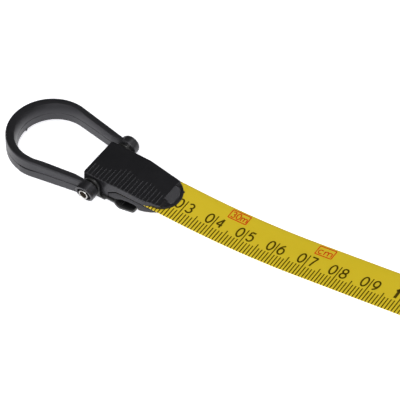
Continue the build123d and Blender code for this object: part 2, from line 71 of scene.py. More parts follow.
# Places of a Mix node's sockets for colours.
MIX_FACTOR, MIX_FIRST, MIX_SECOND, MIX_RESULT = 0, 6, 7, 2


class Body(str, Enum):
    """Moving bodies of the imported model."""

    CASE = "case"
    DRUM = "drum"
    CRANK = "crank"
    KNOB = "knob"
    BLADE = "blade"
    RING = "ring"
    CLAW = "claw"


class Slot(str, Enum):
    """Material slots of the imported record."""

    BLADE = "blade_yellow"
    COVER = "cover_black"
    RING = "ring_black"
    CLAW = "claw_black"
    PIN = "pin_steel"
    CASE = "case_black"
    GRIP = "grip_rubber"
    CRANK = "crank_plastic"
    STEEL = "steel"


class Axis(Enum):
    """Axes that a turned shape can stand on."""

    Y = 1
    Z = 2


# Numpy shapes


@dataclass
class Shell:
    """Points, in millimetres, and faces of one or more closed surfaces."""

    points: Array
    faces: list[Sequence[int]]

    @staticmethod
    def join(shells: Sequence["Shell"]) -> "Shell":
        """Put several shells into one, each with its faces counted on.

        Args:
            shells: the shells to join.

        Returns:
            One shell that holds them all.
        """
        starts = np.cumsum([0] + [len(s.points) for s in shells[:-1]])
        faces = [[i + int(a) for i in f] for a, s in zip(starts, shells) for f in s.faces]
        return Shell(np.concatenate([s.points for s in shells]), faces)


def loft(sections: Array, round_path: bool = False) -> Shell:
    """Skin closed sections that follow each other along a path.

    Section i, point j joins points j and j + 1 of section i + 1 in one quad, and the sections at
    the ends are closed by flat caps unless the path runs round.

    Args:
        sections: points as (section, point round the section, xyz).
        round_path: whether the last section joins the first.

    Returns:
        The closed shell.
    """
    count, size = sections.shape[:2]
    here = np.arange(count if round_path else count - 1)[:, None] * size
    there = (here + size) % (count * size)
    ring = np.arange(size)
    onward = np.roll(ring, -1)
    quads = np.stack([here + ring, here + onward, there + onward, there + ring], -1).reshape(-1, 4)
    faces = quads.tolist()
    if not round_path:
        faces += [ring[::-1].tolist(), (ring + (count - 1) * size).tolist()]
    return Shell(sections.reshape(-1, 3), faces)


def turned(
    profile: Array,
    centre: Sequence[float],
    axis: Axis,
    steps: int = 64,
    flute: Array | None = None,
) -> Shell:
    """Turn a closed profile about an axis.

    A profile point (r, a) goes to centre + a along the axis and r * flute(t) square to it, at
    the angles t of a full turn.

    Args:
        profile: closed loop of (radius, distance along the axis).
        centre: point on the axis.
        axis: which axis the shape turns on.
        steps: points in a turn.
        flute: a factor on the radius for each step and profile point, or None.

    Returns:
        The closed shell.
    """
    angle = np.linspace(0, 2 * np.pi, steps, endpoint=False)[:, None]
    radius = profile[None, :, 0] * (1.0 if flute is None else flute)
    along = np.broadcast_to(profile[None, :, 1], (steps, len(profile)))
    first, second = radius * np.cos(angle), radius * np.sin(angle)
    rows = (first, along, second) if axis is Axis.Y else (first, second, along)
    return loft(np.stack(rows, -1) + np.asarray(centre, float), round_path=True)


def inset(outline: Array, depth: float) -> Array:
    """Move a closed anticlockwise outline inwards along its own normals.

    A point's normal is square to the step between both its neighbours.

    Args:
        outline: closed outline of two coordinates.
        depth: how far each point moves.

    Returns:
        The moved outline.
    """
    step = np.roll(outline, -1, 0) - np.roll(outline, 1, 0)
    out = np.stack([step[:, 1], -step[:, 0]], -1) / np.linalg.norm(step, axis=1, keepdims=True)
    return outline - out * depth


def plate(
    outline: Array,
    y_near: float,
    y_far: float,
    bevel: float,
    tray: float = 0.0,
    rim: float = 0.0,
) -> Shell:
    """Stand an outline of x and z out along y, with bevelled edges and an optional sunk middle.

    The rings are the outline inset by the bevel at both faces and full between them; a tray adds
    the outline inset by the rim at the near face, and again sunk by the tray's depth.

    Args:
        outline: closed outline of (x, z), anticlockwise.
        y_near: lowest y.
        y_far: highest y.
        bevel: edge size.
        tray: depth of the sunk middle of the near face.
        rim: width of the rim left round it.

    Returns:
        The closed shell.
    """
    turn = np.linspace(0, np.pi / 2, 4)
    fall, rise = bevel * (1 - np.sin(turn)), bevel * (1 - np.cos(turn))
    depths = np.concatenate([fall, rise])
    places = np.concatenate([y_near + rise, y_far - fall])
    if tray:
        depths = np.concatenate([[rim + tray / 2, rim], depths])
        places = np.concatenate([[y_near + tray, y_near], places])
    rings = [np.insert(inset(outline, d), 1, y, axis=1) for d, y in zip(depths, places)]
    return loft(np.stack(rings))


def arc(centre: Sequence[float], radii: Sequence[float], start: float, end: float, count: int) -> Array:
    """Points of an ellipse's arc from start to end degrees."""
    angle = np.radians(np.linspace(start, end, count))
    return np.asarray(centre) + np.asarray(radii) * np.stack([np.cos(angle), np.sin(angle)], -1)


def knot_line(x: Array, knots: Knots) -> Array:
    """Value at x of a line through knots of (x, value), level past its ends."""
    places, values = zip(*knots)
    return np.interp(x, places, values)


def eased(value: Array) -> Array:
    """Smooth step of value from 0 to 1."""
    held = np.clip(value, 0, 1)
    return held * held * (3 - 2 * held)


def softened(path: Array) -> Array:
    """Cut the corners of an open path a quarter of the way in.

    Args:
        path: points from end to end.

    Returns:
        The path with two points on each of its steps, and its own ends.
    """
    step = np.diff(path, axis=0)
    cut = np.stack([path[:-1] + step / 4, path[1:] - step / 4], 1).reshape(-1, path.shape[1])
    return np.concatenate([path[:1], cut, path[-1:]])


# Finishes


def socket(node: bpy.types.Node, name: str, value: object) -> None:
    """Set one input of a node to a constant."""
    node.inputs[name].default_value = value


def new_group(name: str, inputs: dict[str, float], outputs: Sequence[str]) -> bpy.types.ShaderNodeTree:
    """Make a shader node group with float sockets.

    Args:
        name: the group's name.
        inputs: input names with their defaults.
        outputs: output names.

    Returns:
        The group, with its Group Input and Group Output nodes named in and out.
    """
    tree = bpy.data.node_groups.new(name, "ShaderNodeTree")
    for key, value in inputs.items():
        made = tree.interface.new_socket(key, in_out="INPUT", socket_type="NodeSocketFloat")
        made.default_value = value
    for key in outputs:
        tree.interface.new_socket(key, in_out="OUTPUT", socket_type="NodeSocketFloat")
    tree.nodes.new("NodeGroupInput").name = "in"
    tree.nodes.new("NodeGroupOutput").name = "out"
    return tree


def math_node(
    tree: bpy.types.NodeTree,
    operation: str,
    first: object,
    second: object,
    third: object = None,
) -> bpy.types.NodeSocket:
    """Add a Math node fed by sockets or numbers.

    Args:
        tree: the tree that it goes into.
        operation: Blender's name for the operation.
        first: socket or number.
        second: socket or number.
        third: socket or number for operations of three values.

    Returns:
        The node's output socket.
    """
    node = tree.nodes.new("ShaderNodeMath")
    node.operation = operation
    for place, value in enumerate((first, second, third)):
        if isinstance(value, bpy.types.NodeSocket):
            tree.links.new(value, node.inputs[place])
        elif value is not None:
            node.inputs[place].default_value = value
    return node.outputs[0]


def grain_group() -> bpy.types.ShaderNodeTree:
    """Grain of a surface on Object coordinates.

    Fine noise at Scale stands for the mould's or rolling's texture, broad noise at a twentieth of
    it for tone; Stretch draws both out along x.

    Returns:
        Group with the outputs Height, Tone and Gloss, each about 0 to 1.
    """
    broad_scale, broad_share, fine_share, even = 0.05, 0.7, 0.3, 0.5
    defaults = {"Scale": 3000.0, "Stretch": 1.0, "Rough": 0.4, "Spread": 0.1}
    tree = new_group("surface_grain", defaults, ("Height", "Tone", "Gloss"))
    entry, leave = tree.nodes["in"], tree.nodes["out"]
    place = tree.nodes.new("ShaderNodeTexCoord")
    apart = tree.nodes.new("ShaderNodeSeparateXYZ")
    joined = tree.nodes.new("ShaderNodeCombineXYZ")
    tree.links.new(place.outputs["Object"], apart.inputs[0])
    drawn = math_node(tree, "DIVIDE", apart.outputs["X"], entry.outputs["Stretch"])
    tree.links.new(drawn, joined.inputs["X"])
    tree.links.new(apart.outputs["Y"], joined.inputs["Y"])
    tree.links.new(apart.outputs["Z"], joined.inputs["Z"])
    fine, broad = (tree.nodes.new("ShaderNodeTexNoise") for _ in range(2))
    for node, detail in ((fine, 2.0), (broad, 4.0)):
        socket(node, "Detail", detail)
        tree.links.new(joined.outputs[0], node.inputs["Vector"])
    tree.links.new(entry.outputs["Scale"], fine.inputs["Scale"])
    tree.links.new(math_node(tree, "MULTIPLY", entry.outputs["Scale"], broad_scale), broad.inputs["Scale"])
    tree.links.new(fine.outputs["Fac"], leave.inputs["Height"])
    fine_tone = math_node(tree, "MULTIPLY", fine.outputs["Fac"], fine_share)
    tone = math_node(tree, "MULTIPLY_ADD", broad.outputs["Fac"], broad_share, fine_tone)
    tree.links.new(tone, leave.inputs["Tone"])
    lean = math_node(tree, "SUBTRACT", broad.outputs["Fac"], even)
    gloss = math_node(tree, "MULTIPLY_ADD", lean, entry.outputs["Spread"], entry.outputs["Rough"])
    tree.links.new(gloss, leave.inputs["Gloss"])
    return tree


def wear_group() -> bpy.types.ShaderNodeTree:
    """Rubbed edges: the piece's own edge attribute, broken up by noise and scaled by Amount.

    Returns:
        Group with the output Mask.
    """
    tree = new_group("edge_wear", {"Amount": 0.5, "Scale": 600.0}, ("Mask",))
    entry, leave = tree.nodes["in"], tree.nodes["out"]
    edge = tree.nodes.new("ShaderNodeAttribute")
    edge.attribute_name = "edge"
    place = tree.nodes.new("ShaderNodeTexCoord")
    noise = tree.nodes.new("ShaderNodeTexNoise")
    tree.links.new(place.outputs["Object"], noise.inputs["Vector"])
    tree.links.new(entry.outputs["Scale"], noise.inputs["Scale"])
    broken = math_node(tree, "MULTIPLY", edge.outputs["Fac"], noise.outputs["Fac"])
    tree.links.new(math_node(tree, "MULTIPLY", broken, entry.outputs["Amount"]), leave.inputs["Mask"])
    return tree


GRAIN = grain_group()
WEAR = wear_group()


@dataclass(frozen=True)
class Finish:
    """One finish: colours between which the grain's tone moves, gloss and its tint, grain and rubbed edges."""

    name: str
    low: Colour
    high: Colour
    worn: Colour
    rough: float
    spread: float = 0.12
    scale: float = 4000.0
    stretch: float = 1.0
    depth: float = 0.02
    strength: float = 0.35
    wear: float = 0.5
    metallic: float = 0.0
    specular: float = 0.5
    coat: float = 0.0
    sheen: float = 0.0
    tint: Colour = (1.0, 1.0, 1.0)

    def material(self) -> bpy.types.Material:
        """Make the finish's material once and hand it out again.

        Returns:
            The material.
        """
        title = f"{self.name}_finish"
        made = bpy.data.materials.get(title)
        return made or self._build(bpy.data.materials.new(title))

    def _build(self, material: bpy.types.Material) -> bpy.types.Material:
        """Wire grain and wear into a Principled shader.

        Args:
            material: the empty material.

        Returns:
            The same material.
        """
        material.use_nodes = True
        tree = material.node_tree
        shader = tree.nodes["Principled BSDF"]
        socket(shader, "Metallic", self.metallic)
        socket(shader, "Specular IOR Level", self.specular)
        socket(shader, "Specular Tint", (*self.tint, 1.0))
        socket(shader, "Coat Weight", self.coat)
        socket(shader, "Sheen Weight", self.sheen)
        grain = tree.nodes.new("ShaderNodeGroup")
        grain.node_tree = GRAIN
        socket(grain, "Scale", self.scale)
        socket(grain, "Stretch", self.stretch)
        socket(grain, "Rough", self.rough)
        socket(grain, "Spread", self.spread)
        wear = tree.nodes.new("ShaderNodeGroup")
        wear.node_tree = WEAR
        socket(wear, "Amount", self.wear)
        toned, rubbed = (tree.nodes.new("ShaderNodeMix") for _ in range(2))
        for node in (toned, rubbed):
            node.data_type = "RGBA"
        toned.inputs[MIX_FIRST].default_value = (*self.low, 1.0)
        toned.inputs[MIX_SECOND].default_value = (*self.high, 1.0)
        rubbed.inputs[MIX_SECOND].default_value = (*self.worn, 1.0)
        tree.links.new(grain.outputs["Tone"], toned.inputs[MIX_FACTOR])
        tree.links.new(toned.outputs[MIX_RESULT], rubbed.inputs[MIX_FIRST])
        tree.links.new(wear.outputs["Mask"], rubbed.inputs[MIX_FACTOR])
        tree.links.new(rubbed.outputs[MIX_RESULT], shader.inputs["Base Color"])
        tree.links.new(grain.outputs["Gloss"], shader.inputs["Roughness"])
        bump = tree.nodes.new("ShaderNodeBump")
        socket(bump, "Strength", self.strength)
        socket(bump, "Distance", self.depth * MM)
        tree.links.new(grain.outputs["Height"], bump.inputs["Height"])
        tree.links.new(bump.outputs["Normal"], shader.inputs["Normal"])
        return material


BLUE_GLOSS = (0.935, 0.925, 1.0)
COVER_BLACK = Finish(
    "cover_black", (0.007, 0.007, 0.008), (0.011, 0.011, 0.012), (0.040, 0.040, 0.043), 0.36,
    spread=0.08, scale=5000.0, tint=BLUE_GLOSS,
)
UNDER_BLACK = replace(COVER_BLACK, name="under_black", rough=0.4, specular=0.36)
RING_BLACK = Finish(
    "ring_black", (0.0075, 0.0075, 0.0082), (0.012, 0.012, 0.0135), (0.050, 0.050, 0.054), 0.42,
    scale=4200.0, tint=BLUE_GLOSS,
)
# Claw colours: its own black paint made darker still as painted shade, so the plate reads black in the shaded nail
# nick.
CLAW_BLACK_AND_PAINTED_SHADE = Finish(
    "claw_black", (0.003, 0.003, 0.003), (0.006, 0.006, 0.006), (0.12, 0.12, 0.12), 0.36,
    wear=0.8, scale=7000.0,
)
PIN_STEEL = Finish(
    "pin_steel", (0.46, 0.45, 0.43), (0.62, 0.61, 0.59), (0.8, 0.8, 0.8), 0.28,
    metallic=1.0, stretch=0.3, depth=0.004,
)
# Painted shade: a dark brown lining that stands in for the shade inside the hinge pin's bore.
BORE_PAINTED_SHADE = Finish(
    "bore_painted_shade", (0.020, 0.014, 0.009), (0.040, 0.030, 0.020), (0.06, 0.05, 0.04), 0.7,
    wear=0.2, specular=0.2,
)
SCREW_STEEL = Finish(
    "screw_steel", (0.36, 0.36, 0.37), (0.52, 0.52, 0.53), (0.8, 0.8, 0.8), 0.34,
    metallic=1.0, depth=0.006,
)
BLADE_YELLOW = Finish(
    "blade_yellow", (0.578, 0.428, 0.014), (0.662, 0.496, 0.020), (0.70, 0.58, 0.12), 0.42,
    scale=2600.0, stretch=12.0, depth=0.006, strength=0.25, wear=0.25, coat=0.12,
)
INK_DARK = Finish(
    "ink_dark", (0.052, 0.034, 0.0015), (0.070, 0.046, 0.0020), (0.09, 0.06, 0.005), 0.6,
    depth=0.004, wear=0.0, specular=0.06,
)
INK_RED = replace(
    INK_DARK, name="ink_red", low=(0.50, 0.034, 0.006), high=(0.60, 0.050, 0.008), worn=(0.7, 0.1, 0.03)
)
CASE_BLACK = Finish(
    "case_black", (0.011, 0.011, 0.012), (0.017, 0.017, 0.018), (0.05, 0.05, 0.052), 0.5,
    scale=2200.0, depth=0.04, strength=0.5,
)
CASE_PANEL = Finish(
    "case_panel", (0.020, 0.020, 0.021), (0.028, 0.028, 0.029), (0.08, 0.08, 0.08), 0.34,
    scale=3000.0, depth=0.01, strength=0.3,
)
GRIP_RUBBER = Finish(
    "grip_rubber", (0.016, 0.016, 0.016), (0.026, 0.026, 0.026), (0.06, 0.06, 0.06), 0.72,
    scale=1800.0, depth=0.05, strength=0.5, wear=0.7, specular=0.3,
)
CRANK_PLASTIC = Finish(
    "crank_plastic", (0.013, 0.013, 0.014), (0.020, 0.020, 0.021), (0.07, 0.07, 0.07), 0.4,
    scale=3600.0, wear=0.6,
)
DRUM_PLASTIC = Finish(
    "drum_plastic", (0.42, 0.31, 0.014), (0.48, 0.36, 0.018), (0.55, 0.45, 0.08), 0.45, scale=2600.0
)
BEARING_PLASTIC = Finish(
    "bearing_plastic", (0.44, 0.43, 0.40), (0.52, 0.51, 0.48), (0.6, 0.6, 0.58), 0.4, scale=3200.0
)
FELT_GREY = Finish(
    "felt_grey", (0.08, 0.08, 0.085), (0.16, 0.16, 0.165), (0.2, 0.2, 0.2), 0.95,
    scale=2600.0, depth=0.15, strength=0.8, wear=0.0, sheen=0.4,
)


# Pieces


def edge_attribute(mesh: bpy.types.Mesh) -> None:
    """Write how far each point stands out of its neighbours, 0 to 1, as the attribute edge.

    The value is the mean, over a point's edges, of the part of the unit step to the point that
    lies along its normal, times a gain.

    Args:
        mesh: the finished mesh.
    """
    count = len(mesh.vertices)
    place, normal = np.empty(count * 3), np.empty(count * 3)
    mesh.vertices.foreach_get("co", place)
    mesh.vertices.foreach_get("normal", normal)
    ends = np.empty(len(mesh.edges) * 2, int)
    mesh.edges.foreach_get("vertices", ends)
    place, normal, ends = place.reshape(-1, 3), normal.reshape(-1, 3), ends.reshape(-1, 2)
    step = place[ends[:, 0]] - place[ends[:, 1]]
    step /= np.maximum(np.linalg.norm(step, axis=1, keepdims=True), 1e-12)
    total, share = np.zeros(count), np.zeros(count)
    for near, sign in ((ends[:, 0], 1.0), (ends[:, 1], -1.0)):
        np.add.at(total, near, sign * np.sum(step * normal[near], axis=1))
        np.add.at(share, near, 1.0)
    gain = 2.5
    value = np.clip(total / np.maximum(share, 1.0) * gain, 0, 1)
    made = mesh.attributes.new("edge", "FLOAT", "POINT")
    made.data.foreach_set("value", value.astype(np.float32))


def piece(
    name: str,
    shell: Shell,
    body: Body,
    finish: Finish,
    stands_for: Sequence[str] = (),
    angle: float = 32.0,
) -> None:
    """Make one piece of the object from a shell.

    Args:
        name: the piece's name.
        shell: its closed surfaces.
        body: the body that it rides on.
        finish: its finish.
        stands_for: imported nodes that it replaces.
        angle: edges sharper than this many degrees shade as edges.
    """
    mesh = bpy.data.meshes.new(name)
    mesh.from_pydata((shell.points * MM).tolist(), [], shell.faces)
    work = bmesh.new()
    work.from_mesh(mesh)
    bmesh.ops.remove_doubles(work, verts=work.verts, dist=MERGE_DISTANCE)
    bmesh.ops.dissolve_degenerate(work, edges=work.edges, dist=MERGE_DISTANCE)
    bmesh.ops.recalc_face_normals(work, faces=work.faces)
    work.to_mesh(mesh)
    work.free()
    mesh.shade_smooth()
    mesh.set_sharp_from_angle(angle=math.radians(angle))
    edge_attribute(mesh)
    mesh.materials.append(finish.material())
    made = bpy.data.objects.new(name, mesh)
    bpy.context.scene.collection.objects.link(made)
    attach(made, body.value)
    if stands_for:
        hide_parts(*stands_for)
    log.info("%s on %s, %d faces", name, body.value, len(mesh.polygons))


def dress(node: str, finish: Finish) -> None:
    """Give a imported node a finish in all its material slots.

    Args:
        node: the node's name.
        finish: its finish.
    """
    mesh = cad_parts[node].data
    if not mesh.materials:
        mesh.materials.append(finish.material())
    for place in range(len(mesh.materials)):
        mesh.materials[place] = finish.material()
    log.info("%s dressed in %s", node, finish.name)


def node_box(node: str) -> tuple[Array, Array]:
    """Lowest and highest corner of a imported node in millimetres."""
    low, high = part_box(node)
    return np.array(low) / MM, np.array(high) / MM


@dataclass(frozen=True)
class Route:
    """The printed face's line from the zero mark: level, a rise, a slope, a return and level again.

    The hinge's axis is placed from the zero mark and the printed face.
    """

    zero_x: float
    face_z: float
    level: float = 30.5
    rise_radius: float = 228.0
    slope: float = 32.1
    return_radius: float = 120.0
    angle: float = math.radians(9.9)
    hinge: tuple[float, float] = (3.7, -1.1)

    @classmethod
    def read(cls) -> "Route":
        """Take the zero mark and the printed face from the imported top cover."""
        low, high = node_box("end_cover_top")
        return cls(zero_x=float(low[0]) - COVER_BACK, face_z=float(high[2]) - COVER_HEIGHT)

    def origin(self) -> Array:
        """The zero mark on the printed face, in the row frame."""
        return np.array([self.zero_x, 0.0, self.face_z])

    def hinge_place(self) -> Array:
        """Middle of the hinge's axis, in the row frame."""
        return np.array([self.zero_x + self.hinge[0], 0.0, self.face_z + self.hinge[1]])

    def place(self, along: Array, across: Array, over: Array) -> Array:
        """Put points given along, across and over the blade into the row frame.

        The line is the sum of its five runs, each with its parameter held between its ends: a run
        of length l adds l, an arc of radius R turned by t adds R sin t along and R (1 - cos t) up.

        Args:
            along: distance from the zero mark on the printed face.
            across: place across the blade.
            over: height over the printed face, square to it.

        Returns:
            Points as (..., xyz).
        """
        a = self.angle
        rise_end = self.level + self.rise_radius * a
        slope_end = rise_end + self.slope
        rise = np.clip((along - self.level) / self.rise_radius, 0, a)
        run = np.clip(along - rise_end, 0, self.slope)
        back = np.clip((along - slope_end) / self.return_radius, 0, a)
        rest = np.maximum(along - slope_end - self.return_radius * a, 0)
        x = np.minimum(along, self.level) + self.rise_radius * np.sin(rise) + run * math.cos(a)
        x = x + self.return_radius * (math.sin(a) - np.sin(a - back)) + rest
        z = self.rise_radius * (1 - np.cos(rise)) + run * math.sin(a)
        z = z + self.return_radius * (np.cos(a - back) - math.cos(a))
        tilt = rise - back
        x = self.zero_x + x - over * np.sin(tilt)
        z = self.face_z + z + over * np.cos(tilt)
        return np.stack(np.broadcast_arrays(x, across, z), -1)


def bar(*points: tuple[float, float]) -> Array:
    """A figure's stroke through the given points."""
    return np.array(points)


class Font:
    """Plain stroke figures in a box one wide and one high."""

    STROKES: dict[str, list[Array]] = {
        "0": [arc((0.5, 0.5), (0.5, 0.5), 90, 450, 40)],
        "1": [bar((0.55, 1.0), (0.55, 0.0)), bar((0.12, 0.76), (0.34, 0.85), (0.55, 1.0))],
        "2": [
            np.concatenate([arc((0.5, 0.72), (0.48, 0.28), 170, -35, 20), [[0.02, 0.02]]]),
            bar((0.0, 0.0), (1.0, 0.0)),
        ],
        "3": [arc((0.47, 0.755), (0.43, 0.245), 155, -90, 20), arc((0.47, 0.265), (0.5, 0.265), 90, -150, 24)],
        "4": [bar((0.74, 1.0), (0.0, 0.3)), bar((0.0, 0.3), (1.0, 0.3)), bar((0.74, 1.0), (0.74, 0.0))],
        "5": [
            bar((0.92, 1.0), (0.2, 1.0)),
            bar((0.2, 1.0), (0.1, 0.5)),
            arc((0.47, 0.33), (0.5, 0.33), 142, -150, 24),
        ],
        "6": [arc((0.5, 0.33), (0.48, 0.33), 0, 360, 32), arc((0.95, 0.36), (0.93, 0.64), 102, 180, 14)],
        "7": [bar((0.0, 1.0), (1.0, 1.0)), bar((1.0, 1.0), (0.62, 0.5), (0.4, 0.0))],
        "8": [arc((0.5, 0.76), (0.42, 0.24), 0, 360, 28), arc((0.5, 0.26), (0.5, 0.26), 0, 360, 32)],
        "9": [arc((0.5, 0.67), (0.48, 0.33), 0, 360, 32), arc((0.05, 0.64), (0.93, 0.64), -78, 0, 14)],
        "m": [
            bar((0.0, 0.66), (0.0, 0.0)),
            np.concatenate([arc((0.25, 0.44), (0.25, 0.2), 180, 0, 12), [[0.5, 0.0]]]),
            np.concatenate([arc((0.75, 0.44), (0.25, 0.2), 180, 0, 12), [[1.0, 0.0]]]),
        ],
        "c": [arc((0.52, 0.33), (0.48, 0.33), 48, 312, 22)],
    }
    WIDE = {"m": 1.5}

    @classmethod
    def ribbons(cls, text: str, corner: Sequence[float], size: Sequence[float], gap: float) -> list[Array]:
        """Paths of a line of figures.

        Args:
            text: the figures.
            corner: lower left corner, along and across the blade.
            size: width and height of a figure; m is half as wide again.
            gap: space between figures.

        Returns:
            One path of (along, across) for each stroke.
        """
        widths = [size[0] * cls.WIDE.get(c, 1.0) for c in text]
        starts = corner[0] + np.cumsum([0.0] + [w + gap for w in widths[:-1]])
        return [
            stroke * (w, size[1]) + (x, corner[1])
            for c, w, x in zip(text, widths, starts)
            for stroke in cls.STROKES[c]
        ]


@dataclass
class Blade:
    """The yellow blade with its divisions, figures and red size mark."""

    route: Route
    width: float = 13.0
    thickness: float = 0.25
    edge: float = 0.05
    start: float = 8.7
    tick: float = 0.33
    tick_overhang: float = 0.012
    first_tick: int = 10
    bare_end: int = 2
    ink: float = 0.018
    sunk: float = 0.2
    first_number: int = 2
    figure_size: tuple[float, float] = (1.75, 3.3)
    figure_low: float = -1.95
    figure_offset: float = 1.72
    figure_stroke: float = 0.52
    bold_stroke: float = 0.85
    mark_span: tuple[float, float] = (2.75, 5.85)
    mark_margin: float = 0.5
    mark_stroke: float = 0.32
    letter_height: float = 2.1
    letter_gap: float = 0.44
    letter_stroke: float = 0.34

    def length(self) -> float:
        """Where the blade's inner end lies: a place on the last level run, and what is left from there.

        Returns:
            Distance along the blade from the zero mark.
        """
        level = 200.0
        level_x = self.route.place(np.array(level), np.array(0.0), np.array(0.0))[0]
        return float(level + node_box("blade")[1][0] - level_x)

    def build(self) -> None:
        """Make the strip and everything printed on it."""
        self.strip()
        self.divisions()
        self.figures()
        self.size_mark()

    def strip(self) -> None:
        """Carry a thin section with rounded edges along the route."""
        along = np.linspace(self.start, self.length(), 200)
        half, low, e = self.width / 2, -self.thickness, self.edge
        soft = 0.3 * e
        flat = np.linspace(-half + e, half - e, 14)
        top = np.stack([flat, np.zeros_like(flat)], -1)
        base = np.stack([flat[::-1], np.full_like(flat, low)], -1)
        right = np.array([[half - soft, -soft], [half, -e], [half, low + e], [half - soft, low + soft]])
        left = right[::-1] * (-1, 1)
        section = np.concatenate([top, right, base, left])
        points = self.route.place(along[:, None], section[None, :, 0], section[None, :, 1])
        piece("blade_strip", loft(points), Body.BLADE, BLADE_YELLOW, ("blade",))

    def ribbon(self, path: Array, width: float) -> Shell:
        """Carry a flat rectangle along a path on the printed face.

        Args:
            path: points of (along, across); it runs round if it ends where it starts.
            width: the ribbon's width.

        Returns:
            A closed slab whose top is just over the face and whose base is in the blade.
        """
        closed = bool(np.allclose(path[0], path[-1]))
        line = path[:-1] if closed else path
        step = np.roll(line, -1, 0) - np.roll(line, 1, 0) if closed else np.gradient(line, axis=0)
        side = np.stack([-step[:, 1], step[:, 0]], -1) / np.linalg.norm(step, axis=1, keepdims=True)
        left, right = line + side * width / 2, line - side * width / 2
        ring = np.stack([left, right, right, left], 1)
        over = np.array([-self.sunk, -self.sunk, self.ink, self.ink])
        return loft(self.route.place(ring[..., 0], ring[..., 1], over[None, :]), round_path=closed)

    def divisions(self) -> None:
        """Millimetre lines from the near edge, longer at every fifth and at every tenth."""
        ends = {10: 1.6, 5: -1.6, 1: -2.75}
        low = -self.width / 2 - self.tick_overhang
        shells = []
        for mark in np.arange(self.first_tick, int(self.length()) - self.bare_end):
            high = next(y for step, y in ends.items() if mark % step == 0)
            shells.append(self.ribbon(np.array([[mark, low], [mark, high]], float), self.tick))
        piece("blade_divisions", Shell.join(shells), Body.BLADE, INK_DARK)

    def figures(self) -> None:
        """Centimetre numbers, one figure each side of their line, with every tenth one bolder."""
        width, height = self.figure_size
        shells = []
        for number in range(self.first_number, int(self.length() // 10)):
            stroke = self.bold_stroke if number % 10 == 0 else self.figure_stroke
            for figure, offset in zip(f"{number:02d}", (-self.figure_offset, self.figure_offset)):
                corner = (10 * number + offset - width / 2, self.figure_low)
                paths = Font.ribbons(figure, corner, (width, height), 0.0)
                shells += [self.ribbon(path, stroke) for path in paths]
        piece("blade_figures", Shell.join(shells), Body.BLADE, INK_DARK)

    def size_mark(self) -> None:
        """Red boxed length of the tape, and a red boxed unit further along."""
        low, high = self.mark_span
        margin = self.mark_margin
        shells = []
        for text, start, end, width in (("30m", 42.1, 47.9, 1.15), ("cm", 70.4, 75.6, 1.5)):
            corners = [[start, low], [end, low], [end, high], [start, high]]
            sides = [np.array(pair, float) for pair in zip(corners, corners[1:] + corners[:1])]
            size = (width, self.letter_height)
            letters = Font.ribbons(text, (start + margin, low + margin), size, self.letter_gap)
            shells += [self.ribbon(path, self.mark_stroke) for path in sides]
            shells += [self.ribbon(path, self.letter_stroke) for path in letters]
        piece("blade_size_mark", Shell.join(shells), Body.BLADE, INK_RED)


